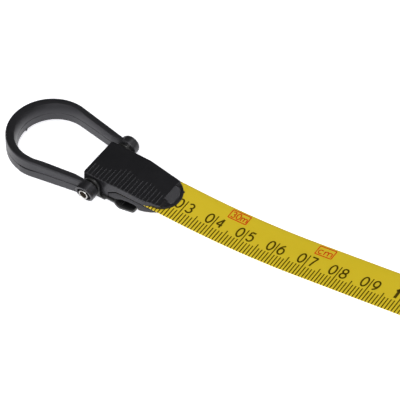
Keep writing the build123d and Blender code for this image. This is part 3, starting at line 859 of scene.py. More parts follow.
@dataclass
class EndCovers:
    """Top and bottom covers that clamp the blade's end, placed from the zero mark and the printed face."""

    route: Route
    back: float = COVER_BACK
    half_width: float = 7.1
    front_half_width: float = 5.8
    height: float = COVER_HEIGHT
    front_height: float = 1.25
    shoulder: float = 13.5
    crown: float = 0.06
    corner_round: float = 0.6
    back_round: float = 0.2
    edge_round: float = 0.32
    tip_edge_less: float = 0.2
    side_lean: float = 0.2
    under_cut: float = 0.22
    under_cut_start: float = 21.0
    under_cut_run: float = 2.0
    facet: float = 24.2
    facet_ends: tuple[float, float] = (-2.3, 3.85)
    facet_drop: float = 0.05
    facet_rim: float = 0.8
    blend: float = 0.2
    rim_ease: tuple[float, float] = (0.05, 0.15)
    plateau_near: float = 25.15
    plateau_far: float = 24.55
    ramp: float = 0.3
    lip: float = 26.9
    lip_height: float = 0.45
    lip_round: tuple[float, float] = (0.5, 0.1)
    tip: float = 28.0
    nub: tuple[float, float] = (27.0, 3.45)
    stop: float = 8.6
    knuckle: float = 2.6
    belly: float = 3.15
    wedge: float = 11.2
    wedge_low: float = -1.5
    blade_half: float = 6.6
    rib_first: float = 1.3
    rib_pitch: float = 1.22
    rib_height: float = 0.14
    rib_half: float = 0.17
    rib_fade: float = 2.4
    rib_reach: tuple[float, ...] = (
        -1.9, -1.8, -1.8, -1.6, -1.2, -0.6, 0.3, 1.0, 1.2, 0.7,
        0.3, 0.0, 0.2, 0.6, 0.9, 0.6, 0.2, -0.2, -0.6,
    )
    near_line: Knots = ((8.0, 7.1), (11.5, 6.82), (15.0, 6.74), (20.2, 6.64), (22.4, 6.03), (24.2, 5.8))
    bottom_start: float = 8.7
    tail: float = 24.5
    seam: float = 0.4
    bottom_bevel: float = 0.12
    bottom_edge: float = 0.3
    belly_line: Knots = (
        (17.5, 3.2), (18.6, 3.25), (19.7, 3.0), (20.7, 2.65),
        (21.7, 2.2), (22.7, 1.75), (23.7, 1.15), (24.5, 0.6),
    )
    wall_line: Knots = ((10.5, 7.1), (13.0, 6.85), (20.0, 6.65), (24.5, 6.5))
    nick_span: tuple[float, float] = (11.25, 18.6)
    nick_ease: tuple[float, float] = (0.12, 0.3)
    nick_depth: float = 1.9
    nick_line: Knots = (
        (11.2, -2.85), (12.7, -2.14), (14.1, -1.89), (15.4, -1.7),
        (16.8, -1.67), (17.5, -1.75), (18.1, -2.0), (18.5, -2.1),
    )

    def build(self) -> None:
        """Make both covers."""
        self.top()
        self.bottom()

    def nose_radius(self) -> float:
        """Radius of the round end through the tip and both ends of the facet's line."""
        rise = self.tip - self.facet
        return (self.front_half_width**2 + rise**2) / (2 * rise)

    def taper(self, x: Array) -> Array:
        """Half width of the straight part and the taper up to the facet."""
        return np.interp(x, [self.shoulder, self.facet], [self.half_width, self.front_half_width])

    def spread(self, x: Array) -> Array:
        """Half width of the top cover: straight, a taper, and a round end, with rounded back corners.

        Args:
            x: distance from the zero mark.

        Returns:
            Half widths.
        """
        radius, corner = self.nose_radius(), self.corner_round
        nose = np.sqrt(np.maximum(radius**2 - np.maximum(x - (self.tip - radius), 0) ** 2, 0))
        cut = np.clip(self.back + corner - x, 0, corner)
        width = self.taper(x) - (corner - np.sqrt(corner**2 - cut**2))
        return np.where(x > self.facet, nose, width)

    def near_spread(self, x: Array) -> Array:
        """Half width on the near side, which up to the facet just hides the blade's edge."""
        drawn = knot_line(x, self.near_line) - self.taper(x)
        return self.spread(x) + np.where(x < self.facet, drawn, 0.0)

    def floor(self, x: Array) -> Array:
        """Underside of the top cover: the knuckle's heel, its slope to the blade's stop, then the printed face.

        Args:
            x: distance from the zero mark.

        Returns:
            Heights over the printed face.
        """
        hx, hz = self.route.hinge
        heel = hz - np.sqrt(np.maximum(self.knuckle**2 - (hx - x) ** 2, 0))
        slope = np.interp(x, [hx, self.stop], [hz - self.knuckle, -self.belly])
        low = np.where(x < hx, np.where(x < hx - self.knuckle, hz, heel), slope)
        return np.where(x > self.stop, 0.0, low)

    def seam_line(self, x: Array) -> Array:
        """Height of the seam between both covers, which climbs in a wedge to the printed face."""
        return np.interp(x, [self.stop, self.wedge], [self.wedge_low, 0.0])

    def ribs(self, x: Array, y: Array) -> Array:
        """Height of the fine cross ribs, which start at the near edge and end at their own reach.

        A rib is the smooth step of one less the distance from its middle over its half width,
        times the smooth step of what is left of its reach over the fade.

        Args:
            x: distance from the zero mark.
            y: place across.

        Returns:
            Heights over the roof.
        """
        count = len(self.rib_reach)
        which = np.clip(np.rint((x - self.rib_first) / self.rib_pitch), 0, count - 1).astype(int)
        off = np.abs(x - self.rib_first - which * self.rib_pitch)
        reach = np.array(self.rib_reach)[which]
        return self.rib_height * eased(1 - off / self.rib_half) * eased((reach - y) / self.rib_fade)

    def roof(self, x: Array, y: Array) -> Array:
        """Top of the top cover: flat, a slope to the facet's straight edge, then facet and round lip.

        The facet is a plane sunk towards the lip, inside a line that keeps the facet's rim from the
        round end and between its own two ends. Beside it the top runs on a little and drops to the
        lip by a short ramp, further on at the near side than at the far one.

        Args:
            x: distance from the zero mark.
            y: place across.

        Returns:
            Heights over the printed face.
        """
        body = np.interp(x, [self.shoulder, self.facet], [self.height, self.front_height])
        body = body + self.ribs(x, y) - self.crown * (y / self.half_width) ** 2
        edge = np.clip(self.back + self.back_round - x, 0, self.back_round)
        body = body - (self.back_round - np.sqrt(self.back_round**2 - edge**2))
        radius, drop, blend = self.nose_radius(), self.facet_drop, self.blend
        rim = radius - np.hypot(x - self.tip + radius, y)
        plane = np.interp(x, [self.facet, self.lip], [self.front_height - drop, self.lip_height + drop])
        low_end, high_end = self.facet_ends
        inside = eased((high_end - y) / blend) * eased((y - low_end) / blend)
        inside = inside * eased((rim - self.facet_rim) / blend)
        lip_width, lip_fall = self.lip_round
        lip = self.lip_height - lip_fall * (1 - np.sqrt(np.clip(rim / lip_width, 0, 1)))
        run_on = np.where(y < 0, self.plateau_near, self.plateau_far)
        beside = np.maximum(eased((low_end - y) / blend), eased((y - high_end) / blend))
        rim_start, rim_run = self.rim_ease
        beside = beside * np.clip((run_on + self.ramp - x) / (2 * self.ramp), 0, 1)
        beside = beside * eased((rim - rim_start) / rim_run)
        front = lip + (plane - lip) * inside + (self.front_height - lip) * beside
        return np.where(x > self.facet, front, body)

    def stations(self) -> Array:
        """Places of the top cover's sections, closest at the ribs, at both sides of a step and at the ends.

        Returns:
            Distances from the zero mark, in a column.
        """
        between, clear, hair = 0.28, 0.02, 0.002
        rib = np.linspace(-self.rib_half, self.rib_half, 9)
        across_rib = np.concatenate([rib, np.linspace(between, self.rib_pitch - between, 6)])
        fine = (self.rib_first + self.rib_pitch * np.arange(len(self.rib_reach))[:, None] + across_rib).ravel()
        fine = fine[(fine < self.facet - clear) & (np.abs(fine - self.stop) > clear)]
        ramps = [place + way * self.ramp for place in (self.plateau_far, self.plateau_near) for way in (-1, 1)]
        steps = np.array([self.stop, self.facet, *ramps])
        quarter = np.linspace(0, np.pi / 2, 8)
        tip_turn = np.linspace(0, np.pi / 2, 40)[1:]
        return np.sort(np.concatenate([
            self.back + (self.corner_round - 0.01) * (1 - np.cos(quarter)),
            fine,
            steps - hair,
            steps + hair,
            self.facet + (self.tip - self.facet) * np.sin(tip_turn),
        ]))[:, None]

    def skin(self, x: Array, runs: Sequence[tuple[Array, Array]]) -> Shell:
        """Join the runs round each section and skin the sections.

        Args:
            x: distance of each section from the zero mark, in a column.
            runs: y and z of each run, one row to a section.

        Returns:
            The closed shell.
        """
        y = np.concatenate([run[0] for run in runs], 1)
        z = np.concatenate([run[1] for run in runs], 1)
        return loft(np.stack([np.broadcast_to(x, y.shape), y, z], -1) + self.route.origin())

    def top(self) -> None:
        """Skin the top cover's sections: near side, rounded edge, roof, rounded edge, far side and floor.

        A section's edges are quarter turns no larger than its walls leave room for. The near side
        leans in towards its top, and near the front its foot is cut back by a power of its depth.
        """
        x = self.stations()
        half, near, low = self.spread(x), self.near_spread(x), self.floor(x)
        skirt = np.where(x > self.stop, self.seam_line(x), low)
        most_edge, most_lean, most_edge_z, least_roof, cut_power = 0.45, 0.1, 0.7, 0.05, 1.5
        edge = np.minimum(self.edge_round - self.tip_edge_less * eased(x - self.facet), most_edge * half)
        lean = np.minimum(self.side_lean, most_lean * near)
        v = np.linspace(-1, 1, 91)[None, :]
        y_roof = np.where(v < 0, v * (near - lean - edge), v * (half - edge))
        z_roof = self.roof(x, y_roof)
        near_top, far_top = z_roof[:, :1], z_roof[:, -1:]
        edge_z = np.minimum(edge, most_edge_z * np.maximum(near_top, least_roof))
        turn = np.linspace(0, np.pi / 2, 7)[None, 1:-1]
        side = np.linspace(0, 1, 6)[None, :]
        cut = self.under_cut * eased((x - self.under_cut_start) / self.under_cut_run)
        cut = cut * np.minimum(near / self.front_half_width, 1.0)
        under = np.linspace(1, -1, 9)[None, 1:-1]
        most_inner, hair = 0.97, 0.01
        inner, inner_near = (np.minimum(self.blade_half, most_inner * wall) for wall in (half, near))
        base_y = np.concatenate([inner + hair, under * inner, -inner_near - hair], 1)
        runs = [
            (-near + lean * side + cut * (1 - side) ** cut_power, skirt + (near_top - edge_z - skirt) * side),
            (lean - near + edge * (1 - np.cos(turn)), near_top - edge_z * (1 - np.sin(turn))),
            (y_roof, z_roof),
            (half - edge * (1 - np.sin(turn)), far_top - edge_z * (1 - np.cos(turn))),
            (half + 0 * side, skirt + (far_top - edge_z - skirt) * side[:, ::-1]),
            (base_y, np.concatenate([skirt, low + 0 * under, skirt], 1)),
        ]
        nub = np.array([[0.02, 0.05], [0.26, 0.05], [0.3, 0.3], [0.22, 0.5], [0.02, 0.55]])
        shells = [self.skin(x, runs), turned(nub, self.route.origin() + (*self.nub, 0.0), Axis.Z, 20)]
        replaced = ("end_cover_top", "cover_rivets")
        piece("end_cover_top_shell", Shell.join(shells), Body.BLADE, COVER_BLACK, replaced, angle=28.0)

    def bottom(self) -> None:
        """Skin the bottom cover: flat against the blade, deep up to the claw's tip and falling to the tail.

        A nick in both lower edges leaves room for a nail behind the claw's plate: a section passes
        from a rounded edge to a hollow one, under a line of its own, as the nick opens.
        """
        top_bevel, top_drop, most_edge = 0.1, 0.2, 0.4
        start, end = self.bottom_start + 0.15, self.tail - 0.01
        run = np.sin(np.linspace(0, np.pi / 2, 90))
        x = np.concatenate([[self.bottom_start], start + (end - start) * run, [self.tail]])[:, None]
        depth = knot_line(x, self.belly_line)
        shut = np.zeros_like(x)
        shut[[0, -2, -1]] = self.bottom_bevel
        half = knot_line(x, self.wall_line) - shut
        edge = np.minimum(self.bottom_edge, most_edge * depth)
        top = self.seam_line(x) - self.seam - shut
        rise, fall = self.nick_ease
        nick = eased((x - self.nick_span[0]) / rise) * eased((self.nick_span[1] - x) / fall)
        plain = edge - depth
        wall = np.maximum(knot_line(x, self.nick_line), plain) * nick + plain * (1 - nick)
        deep = half - edge - self.nick_depth * nick
        turn = np.linspace(0, np.pi / 2, 9)[None, :]
        out = np.cos(turn) * (1 - nick) + (1 - np.sin(turn)) * nick
        down = np.sin(turn) * (1 - nick) + (1 - np.cos(turn)) * nick
        across = np.linspace(-1, 1, 11)[None, 1:-1]
        inset_top, bevel = half - top_bevel, top - top_drop
        runs = [
            (across * inset_top, top + 0 * across),
            (inset_top, top),
            (half, bevel),
            (deep + (half - deep) * out, wall - (depth + wall) * down),
            (across[:, ::-1] * deep, -depth + 0 * across),
            (-deep - (half - deep) * out[:, ::-1], wall - (depth + wall) * down[:, ::-1]),
            (-half, bevel),
            (-inset_top, top),
        ]
        shell = self.skin(x, runs)
        piece("end_cover_bottom_shell", shell, Body.BLADE, UNDER_BLACK, ("end_cover_bottom",))


@dataclass
class PullRing:
    """Moulded stirrup on the hinge pin: a round end, two tapering legs and a boss on each."""

    route: Route
    reach: float = 15.91
    outer_radius: float = 13.02
    thickness: float = 2.26
    inner_shift: float = 0.95
    outer_taper: float = math.radians(9.62)
    inner_taper: float = math.radians(9.32)
    height: float = 6.0
    leg_height: float = 4.86
    lift: float = 0.31
    flare: float = 0.9
    flare_start: float = 0.92
    flare_run: float = 0.075
    ear_start: float = -2.0
    ear_clear: float = 8.65
    part_height: float = -0.3
    part_climb: float = 0.5
    climb_rate: float = 2.5
    groove: float = 0.22
    groove_half: float = 0.12
    outer_groove: float = 0.6
    step_place: float = 0.27
    step_run: float = 0.004
    step_proud: float = 0.16
    gap_run: float = 0.006
    gap_end: float = 0.36
    gap_fade: float = 0.03
    gap_depth: float = 0.4
    low_edge: float = 0.3
    top_edge: float = 0.55
    outer_draft: float = 0.06
    inner_full: float = 0.25
    inner_lean: tuple[float, float] = (0.35, 0.45)
    lean_start: float = 0.2
    lean_run: float = 0.25
    inner_bow: float = 2.2
    boss_radius: float = 2.9
    boss_near: float = 8.9
    boss_far: float = 11.9
    pin_clear: float = 1.52
    recess_depth: float = 0.9
    foot_bevel: float = 0.2
    mouth_round: float = 0.1
    gate_place: tuple[float, float, float] = (0.05, 0.8, 0.55)

    def build(self) -> None:
        """Make the stirrup with its bosses as one piece."""
        shells = [self.band(), self.boss(-1.0), self.boss(1.0), self.gate()]
        piece("pull_ring_moulding", Shell.join(shells), Body.RING, RING_BLACK, ("pull_ring",))

    def line(self, centre: float, radius: float, taper: float, t: Array) -> Array:
        """Plan line of one wall: leg, arc and leg, each a third of t from 0 to 1.

        Args:
            centre: x of the arc's centre.
            radius: the arc's radius.
            taper: how far each leg turns in from the pull line.
            t: parameter.

        Returns:
            Points of (x, y) from the zero mark.
        """
        touch_x, touch_y = centre + radius * math.sin(taper), radius * math.cos(taper)
        run = self.route.hinge[0] - touch_x
        end_y = touch_y - run * math.tan(taper)
        leg = np.abs(2 * t - 1)
        share = np.clip((leg - 1 / 3) * 1.5, 0, 1)
        turn = (np.pi / 2 + taper) * leg * 3
        x = np.where(leg < 1 / 3, centre - radius * np.cos(turn), touch_x + run * share)
        y = np.where(leg < 1 / 3, radius * np.sin(turn), touch_y + (end_y - touch_y) * share)
        return np.stack([x, np.sign(t - 0.5) * y], -1)

    def walls(self, t: Array) -> tuple[Array, Array]:
        """Plan lines of the outer wall, flared to the bosses, and of the inner one, clear of the claw's ears.

        Args:
            t: parameter, from 0 at the near boss to 1 at the far one.

        Returns:
            Outer and inner points of (x, y) from the zero mark.
        """
        side = np.sign(t - 0.5)
        outer = self.line(-self.reach, self.outer_radius, self.outer_taper, t)
        outer[:, 1] += side * self.flare * eased((np.abs(2 * t - 1) - self.flare_start) / self.flare_run)
        inner_radius = self.outer_radius - self.thickness
        inner = self.line(self.inner_shift - self.reach, inner_radius, self.inner_taper, t)
        wide = np.abs(inner[:, 1])
        inner[:, 1] = side * np.where(inner[:, 0] > self.ear_start, np.maximum(wide, self.ear_clear), wide)
        return outer, inner

    def section(self, t: Array) -> tuple[Array, Array, Array]:
        """Section of the band: how far both walls stand out of their plan lines, by height.

        The inner wall is fullest at the parting line and leans back above it by a power of the
        height, most at the round end. The outer wall has a small draft and a round at its top,
        and stands proud below the line from the step on. A fine groove marks the line, and is
        wide open beside the step.

        Args:
            t: parameter of the plan lines.

        Returns:
            Heights from the band's middle, and the outer and inner wall's places at each t and height.
        """
        half, line, bow, ridge = self.height / 2, self.part_height, self.inner_bow, self.groove_half
        low_edge, top_edge = self.low_edge, self.top_edge
        hair, beside_line, wide_line = 0.01, 0.2, 0.15
        level = np.concatenate([
            np.linspace(low_edge - half, line - beside_line, 7),
            [line - ridge, line, line + ridge],
            np.linspace(line + beside_line, half - top_edge, 8),
        ])
        leg = np.abs(2 * t - 1)[:, None]
        off_line = np.abs(level - line)
        above = np.clip((level - line) / (half - line), 0, 1)
        groove = np.where(off_line < hair, self.groove, 0.0)
        past_step = leg - self.step_place
        proud = np.where(level < line - hair, self.step_proud, 0.0) * eased(past_step / self.step_run)
        beside = eased(past_step / self.gap_run) * (1 - eased((leg - self.gap_end) / self.gap_fade))
        gap = np.where(t[:, None] < 0.5, beside, 0.0) * np.where(off_line < wide_line, self.gap_depth, 0.0)
        outer = proud - (self.outer_draft * above + self.outer_groove * groove) - gap
        low_lean, more_lean = self.inner_lean
        lean = low_lean + more_lean * (1 - eased((leg - self.lean_start) / self.lean_run))
        inner = self.inner_full - groove - lean * above**bow
        turn = np.linspace(0, np.pi / 2, 9)[1:]
        low_drop = low_edge * (1 - np.cos(turn))[::-1]
        top_share = 1 - top_edge * (1 - np.sin(turn)) / (half - line)
        drops = (top_edge * (1 - np.cos(turn)), lean * (top_share**bow - above[-1] ** bow))
        z = np.concatenate([
            (low_edge - half - low_edge * np.sin(turn))[::-1], level, half - top_edge + top_edge * np.sin(turn)
        ])
        outer, inner = (
            np.concatenate([wall[:, :1] - low_drop, wall, wall[:, -1:] - drop], 1)
            for wall, drop in zip((outer, inner), drops)
        )
        return z, outer, inner

    def band(self) -> Shell:
        """Carry a drafted section with rounded edges and a parting line along the stirrup.

        Each section runs from the outer wall's line to the inner one's, and is as high as the
        band is there: full height at the round end, less towards the bosses, to which the parting
        line climbs.

        Returns:
            The closed shell.
        """
        first = np.linspace(0, 1 / 3, 60, endpoint=False)
        middle = np.linspace(1 / 3, 2 / 3, 120, endpoint=False)
        t = np.concatenate([first, middle, np.linspace(2 / 3, 1, 61)])
        outer, inner = self.walls(t)
        z, outer_wall, inner_wall = self.section(t)
        across = (outer - inner) / np.linalg.norm(outer - inner, axis=1, keepdims=True)
        outside = outer[:, None, :] + across[:, None, :] * outer_wall[:, :, None]
        inside = inner[:, None, :] - across[:, None, :] * inner_wall[:, ::-1, None]
        plan = np.concatenate([outside, inside], 1)
        half, line = self.height / 2, self.part_height
        hinge_x, hinge_z = self.route.hinge
        middle_x = (outer[:, :1] + inner[:, :1]) / 2
        share = np.clip((middle_x + self.reach) / (hinge_x + self.reach), 0, 1)
        high = half + (self.leg_height / 2 - half) * share
        climb = line + self.part_climb * np.minimum(self.climb_rate * share, 1.0)
        below = climb + (z - line) / (half + line) * (high + climb)
        over = climb + (z - line) / (half - line) * (high - climb)
        heights = np.where(z < line, below, over)
        heights = np.concatenate([heights, heights[:, ::-1]], 1) + self.lift * (1 - share)
        points = np.concatenate([plan, heights[:, :, None]], -1)
        return loft(points + self.route.origin() + (0, 0, hinge_z))

    def gate(self) -> Shell:
        """Turn the small broken-off gate mark on the round end's inner lower edge.

        Returns:
            The closed shell.
        """
        profile = np.array([[0.02, -0.55], [0.3, -0.5], [0.42, -0.2], [0.42, 0.2], [0.3, 0.5], [0.02, 0.55]])
        inner_end = self.thickness + self.inner_shift - self.reach - self.outer_radius
        edge = self.route.origin() + (inner_end, 0.0, self.route.hinge[1] - self.height / 2)
        return turned(profile, edge + self.gate_place, Axis.Z, 20)

    def boss(self, side: float) -> Shell:
        """Turn a boss with a recess round the pin's end.

        The near boss ends in a face that leans back towards its foot, so its length grows with
        height; the far one has a widely rounded rim.

        Args:
            side: -1 for the near boss and 1 for the far one.

        Returns:
            The closed shell.
        """
        lean, round_rim, recess = (0.2, 0.2, 2.25) if side < 0 else (0.0, 1.1, 1.7)
        lean_back, bevel, soft = 0.8, self.foot_bevel, self.mouth_round
        r, near, far = self.boss_radius, self.boss_near, self.boss_far - lean_back * lean
        bore, floor = self.pin_clear, far - self.recess_depth
        foot = [[bore, near], [r - bevel, near], [r, near + bevel]]
        rim = arc((r - round_rim, far - round_rim), (round_rim, round_rim), 0, 90, 9)
        mouth = arc((recess + soft, far - soft), (soft, soft), 90, 180, 5)
        loop = np.concatenate([foot, rim, mouth, [[recess, floor], [bore, floor]]])
        place = self.route.hinge_place()
        made = turned(loop * (1, side), place, Axis.Y, 72)
        share = (np.abs(made.points[:, 1]) - near) / (far - near)
        made.points[:, 1] += side * lean * share * (made.points[:, 2] - place[2])
        return made


@dataclass
class Hinge:
    """Steel tube that the ring and the claw turn on, and the folded claw."""

    route: Route
    pin_radius: float = 1.45
    bore: float = 1.14
    reach: float = 12.1
    sheet: float = 0.7
    sheet_edge: float = 0.12
    half_width: float = 7.6
    corner: float = 0.7
    fold: Knots = ((4.1, -4.2), (8.4, -3.86), (11.0, -3.78), (12.1, -4.92), (12.8, -5.13), (17.45, -3.95))
    ear_radius: float = 2.6
    ear_near: float = 7.4
    ear_far: float = 8.1
    ear_bevel: float = 0.1
    ear_foot: Knots = (
        (0.2, -2.7), (0.7, -2.95), (0.9, -3.15), (4.5, -3.05), (4.6, -2.7), (3.2, -2.5), (2.75, -1.8),
    )

    def build(self) -> None:
        """Make the pin and the claw."""
        self.pin()
        self.claw()

    def pin(self) -> None:
        """Turn the tube, with rolled rims at both ends, and the dark sleeve of painted shade that lines its bore.
        """
        wall = (self.pin_radius - self.bore) / 2
        middle, end = self.pin_radius - wall, self.reach - wall
        far = arc((middle, end), (wall, wall), 0, 180, 12)
        near = arc((middle, -end), (wall, wall), 180, 360, 12)
        place = self.route.hinge_place()
        tube = turned(np.concatenate([far, near]), place, Axis.Y, 48)
        piece("hinge_pin_tube", tube, Body.BLADE, PIN_STEEL, ("hinge_pin",), angle=60.0)
        back, foot = end - 0.25, end - 0.45
        outside, rim, inside = self.bore + 0.02, self.bore - 0.06, self.bore - 0.12
        sleeve = np.array([
            [outside, -back], [outside, back], [rim, back], [inside, foot], [inside, -foot], [rim, -back]
        ])
        # The sleeve's dark colour is painted shade inside the bore.
        piece("hinge_pin_bore", turned(sleeve, place, Axis.Y, 48), Body.BLADE, BORE_PAINTED_SHADE)

    def claw(self) -> None:
        """Fold the claw's plate and set an ear on each side of it.

        The plate's middle line is softened at its bends and widened to both sides, drawn in round
        the tip's corners by powers of the way into them; the ears are plates of a disc that runs
        down into it.
        """
        tip_draw, tip_round = 0.15, 0.3
        bends = np.array(self.fold)
        runs = [np.linspace(p, q, 5, endpoint=False) for p, q in zip(bends, bends[1:])]
        line = softened(np.concatenate(runs + [bends[-1:]]))
        step = np.gradient(line, axis=0)
        up = np.stack([-step[:, 1], step[:, 0]], -1) / np.linalg.norm(step, axis=1, keepdims=True)
        bow = np.clip(line[:, :1] - (bends[-1, 0] - self.corner), 0, self.corner) / self.corner
        half = self.half_width - tip_draw * bow**2 - tip_round * bow**12
        e, t = self.sheet_edge, self.sheet / 2
        wide = np.linspace(-1, 1, 15) * (half - e)
        y = np.concatenate([wide, half, half, wide[:, ::-1], -half, -half], 1)
        face = np.full(wide.shape[1], t)
        over = np.concatenate([face, [t - e, e - t], -face, [e - t, t - e]])
        x = line[:, None, 0] + up[:, None, 0] * over
        z = line[:, None, 1] + up[:, None, 1] * over
        shells = [loft(np.stack([x, y, z], -1) + self.route.origin())]
        disc = arc((0, 0), (self.ear_radius, self.ear_radius), 0, 248, 40)
        outline = np.concatenate([disc, self.ear_foot]) + self.route.hinge_place()[[0, 2]]
        for low, high in ((self.ear_near, self.ear_far), (-self.ear_far, -self.ear_near)):
            shells.append(plate(outline, low, high, self.ear_bevel))
        # The claw's finish carries painted shade: its black is darkened for the shaded nail nick.
        piece("end_claw_fold", Shell.join(shells), Body.CLAW, CLAW_BLACK_AND_PAINTED_SHADE, ("end_claw",))


# Corners of a frame, anticlockwise from the lower right: signs of both axes and where the quarter turn starts.
QUARTERS = ((1, -1, -90), (1, 1, 0), (-1, 1, 90), (-1, -1, 180))


@dataclass
class Case:
    """Trim of the case: grip, base pad, beads, screws, back disc and mouth frame, all in the row frame."""

    half: float
    bottom: float
    top: float
    side: float
    drum_z: float
    top_corner: float = 36.0
    bottom_corner: float = 10.0
    least_corner: float = 2.0
    sunk: float = 0.2
    grip_margin: float = 4.0
    grip_pitch: float = 3.2
    grip_base: float = 0.68
    grip_rib: float = 0.5
    grip_rib_power: float = 0.6
    grip_end: tuple[float, float] = (0.35, 1.2)
    pad_corner: float = 4.0
    pad_pitch: float = 3.0
    pad_groove: float = 0.45
    pad_edge: float = 0.4
    crank_ring: float = 30.0
    crank_ring_half: float = 1.2
    crank_ring_height: float = 0.5
    screw_radius: float = 3.0
    screw_depth: float = 1.9
    plate_screw_depth: float = 0.9
    lower_screw_x: float = 35.485
    mouth_corner: float = 1.5

    @classmethod
    def read(cls) -> "Case":
        """Take the case's size from its packed halves and the drum's height from the wound blade.

        Returns:
            The case's trim.
        """
        low, high = node_box("case_front")
        pack_low, pack_high = node_box("tape_pack")
        drum_z = float(pack_low[2] + pack_high[2]) / 2
        return cls(float(high[0]), float(low[2]), float(high[2]), -float(low[1]), drum_z)

    def build(self) -> None:
        """Make every trim piece."""
        self.grip()
        self.pad()
        self.beads()
        self.screws()
        self.back_disc()
        self.mouth_frame()

    def outline(self, depth: float) -> tuple[Array, Array]:
        """Outline of the case in x and z, drawn in by depth, with its outward normals.

        A corner's radius shrinks by the depth, down to the least corner.

        Args:
            depth: how far it is drawn in.

        Returns:
            Points and normals of (x, z), anticlockwise from the lower right corner.
        """
        points, normals = [], []
        for right, up, start in QUARTERS:
            level, corner = (self.top, self.top_corner) if up > 0 else (self.bottom, self.bottom_corner)
            small = max(corner - depth, self.least_corner)
            centre = (right * (self.half - depth - small), level - up * (depth + small))
            points.append(arc(centre, (small, small), start, start + 90, 24))
            normals.append(arc((0, 0), (1, 1), start, start + 90, 24))
        return np.concatenate(points), np.concatenate(normals)

    def grip(self) -> None:
        """Carry a ribbed rubber band from the top round the back edge and down it.

        The band's height over the case is a base and, in every pitch, one rounded rib that is a
        power of a sine's upper half, let down to the case at both ends.
        """
        low, high = node_box("grip_band")
        start, end, wide = float(low[0]), float(low[2]), float(high[1])
        step, radius = 0.4, self.top_corner
        corner = (self.half - radius, self.top - radius)
        along = np.arange(start, corner[0], step)
        turn = np.radians(np.arange(90, 0, -step / radius * 180 / np.pi))
        around = np.stack([np.cos(turn), np.sin(turn)], -1)
        down = np.arange(corner[1], end, -step)
        path = np.concatenate([
            np.stack([along, np.full_like(along, self.top)], -1),
            corner + radius * around,
            np.stack([np.full_like(down, self.half), down], -1),
            [[self.half, end]],
        ])
        upward, outward = np.tile([0.0, 1.0], (len(along), 1)), np.tile([1.0, 0.0], (len(down) + 1, 1))
        out = np.concatenate([upward, around, outward])
        run = np.concatenate([[0], np.cumsum(np.linalg.norm(np.diff(path, axis=0), axis=1))])
        margin = np.minimum(run, run[-1] - run)
        wave = np.sin((run - self.grip_margin) * 2 * np.pi / self.grip_pitch)
        rib = np.maximum(wave, 0) ** self.grip_rib_power * (margin > self.grip_margin)
        end_height, end_run = self.grip_end
        height = (self.grip_base + self.grip_rib * rib) * np.clip(end_height + margin / end_run, 0, 1)
        across = np.array([-1, -1, -0.97, -0.92, -0.6, -0.2, 0.2, 0.6, 0.92, 0.97, 1, 1]) * wide
        over = np.array([-0.15, 0.45, 0.85, 1, 1, 1, 1, 1, 1, 0.85, 0.45, -0.15])
        lift = np.where(over < 0, over, over * height[:, None])
        x, z = (path[:, None, i] + out[:, None, i] * lift for i in range(2))
        points = np.stack([x, np.broadcast_to(across, lift.shape), z], -1)
        piece("grip_band_ribbed", loft(points), Body.CASE, GRIP_RUBBER, ("grip_band",))

    def pad(self) -> None:
        """Cast the base pad with rounded corners and fine ribs across its underside.

        A section across y is as wide as the rounded corners leave it, and its underside is raised
        between the ribs by the root of a cosine's upper half.
        """
        low, high = node_box("base_pad")
        centre, reach, wide = (low[0] + high[0]) / 2, (high[0] - low[0]) / 2, high[1]
        corner, edge, step, first_turn, into_case = self.pad_corner, self.pad_edge, 0.25, 0.05, 0.1
        quarter = corner * (1 - np.cos(np.linspace(first_turn, np.pi / 2, 8)))
        straight = np.arange(corner + step, 2 * reach - corner, step)
        x = np.concatenate([quarter, straight, 2 * reach - quarter[::-1]]) - reach
        into = np.clip(np.abs(x) - (reach - corner), 0, corner)
        half = wide - corner + np.sqrt(np.maximum(corner**2 - into**2, 0))
        wave = np.maximum(np.cos(x * 2 * np.pi / self.pad_pitch), 0) ** 0.5
        groove = self.pad_groove * wave * (np.abs(x) < reach - corner)
        top = np.full_like(x, high[2] + into_case)
        levels = np.stack([top, top, edge + groove, groove, groove, edge + groove], 1)
        y = np.stack([-half, half, half, half - edge, edge - half, -half], 1)
        points = np.stack([np.broadcast_to(x[:, None] + centre, y.shape), y, levels], -1)
        piece("base_pad_ribbed", loft(points), Body.CASE, GRIP_RUBBER, ("base_pad",))

    def bead(self, depth: float, width: float, height: float, way: float) -> Shell:
        """Carry a low half round along the drawn-in outline of one side.

        Args:
            depth: how far the line is drawn in from the case's outline.
            width: half width of the bead.
            height: how far it stands out.
            way: -1 for the front side and 1 for the back one.

        Returns:
            The closed shell.
        """
        path, out = self.outline(depth)
        angle = np.linspace(0, np.pi, 9)
        across = np.concatenate([width * np.cos(angle), [-width, width]])
        over = np.concatenate([height * np.sin(angle), [-self.sunk, -self.sunk]])
        x, z = (path[:, None, i] + out[:, None, i] * across for i in range(2))
        y = np.broadcast_to(way * (self.side + over), x.shape)
        return loft(np.stack([x, y, z], -1), round_path=True)

    def beads(self) -> None:
        """Frame both sides with a double bead and the crank's plate with a ring."""
        shells = [
            self.bead(depth + more, width, height, way)
            for way, depth in ((-1.0, 9.4), (1.0, 15.0))
            for more, width, height in ((0, 0.7, 0.5), (2.4, 0.4, 0.3))
        ]
        piece("case_beads", Shell.join(shells), Body.CASE, CASE_BLACK)
        radius, half = self.crank_ring, self.crank_ring_half
        ring = arc((radius, 0.0), (half, self.crank_ring_height), 0, 180, 11)
        foot = [[radius - half, -self.sunk], [radius + half, -self.sunk]]
        loop = np.concatenate([ring, foot]) * (1, -1) - (0, self.side)
        shell = turned(loop, (0, 0, self.drum_z), Axis.Y, 120)
        piece("case_crank_ring", shell, Body.CASE, BLADE_YELLOW)

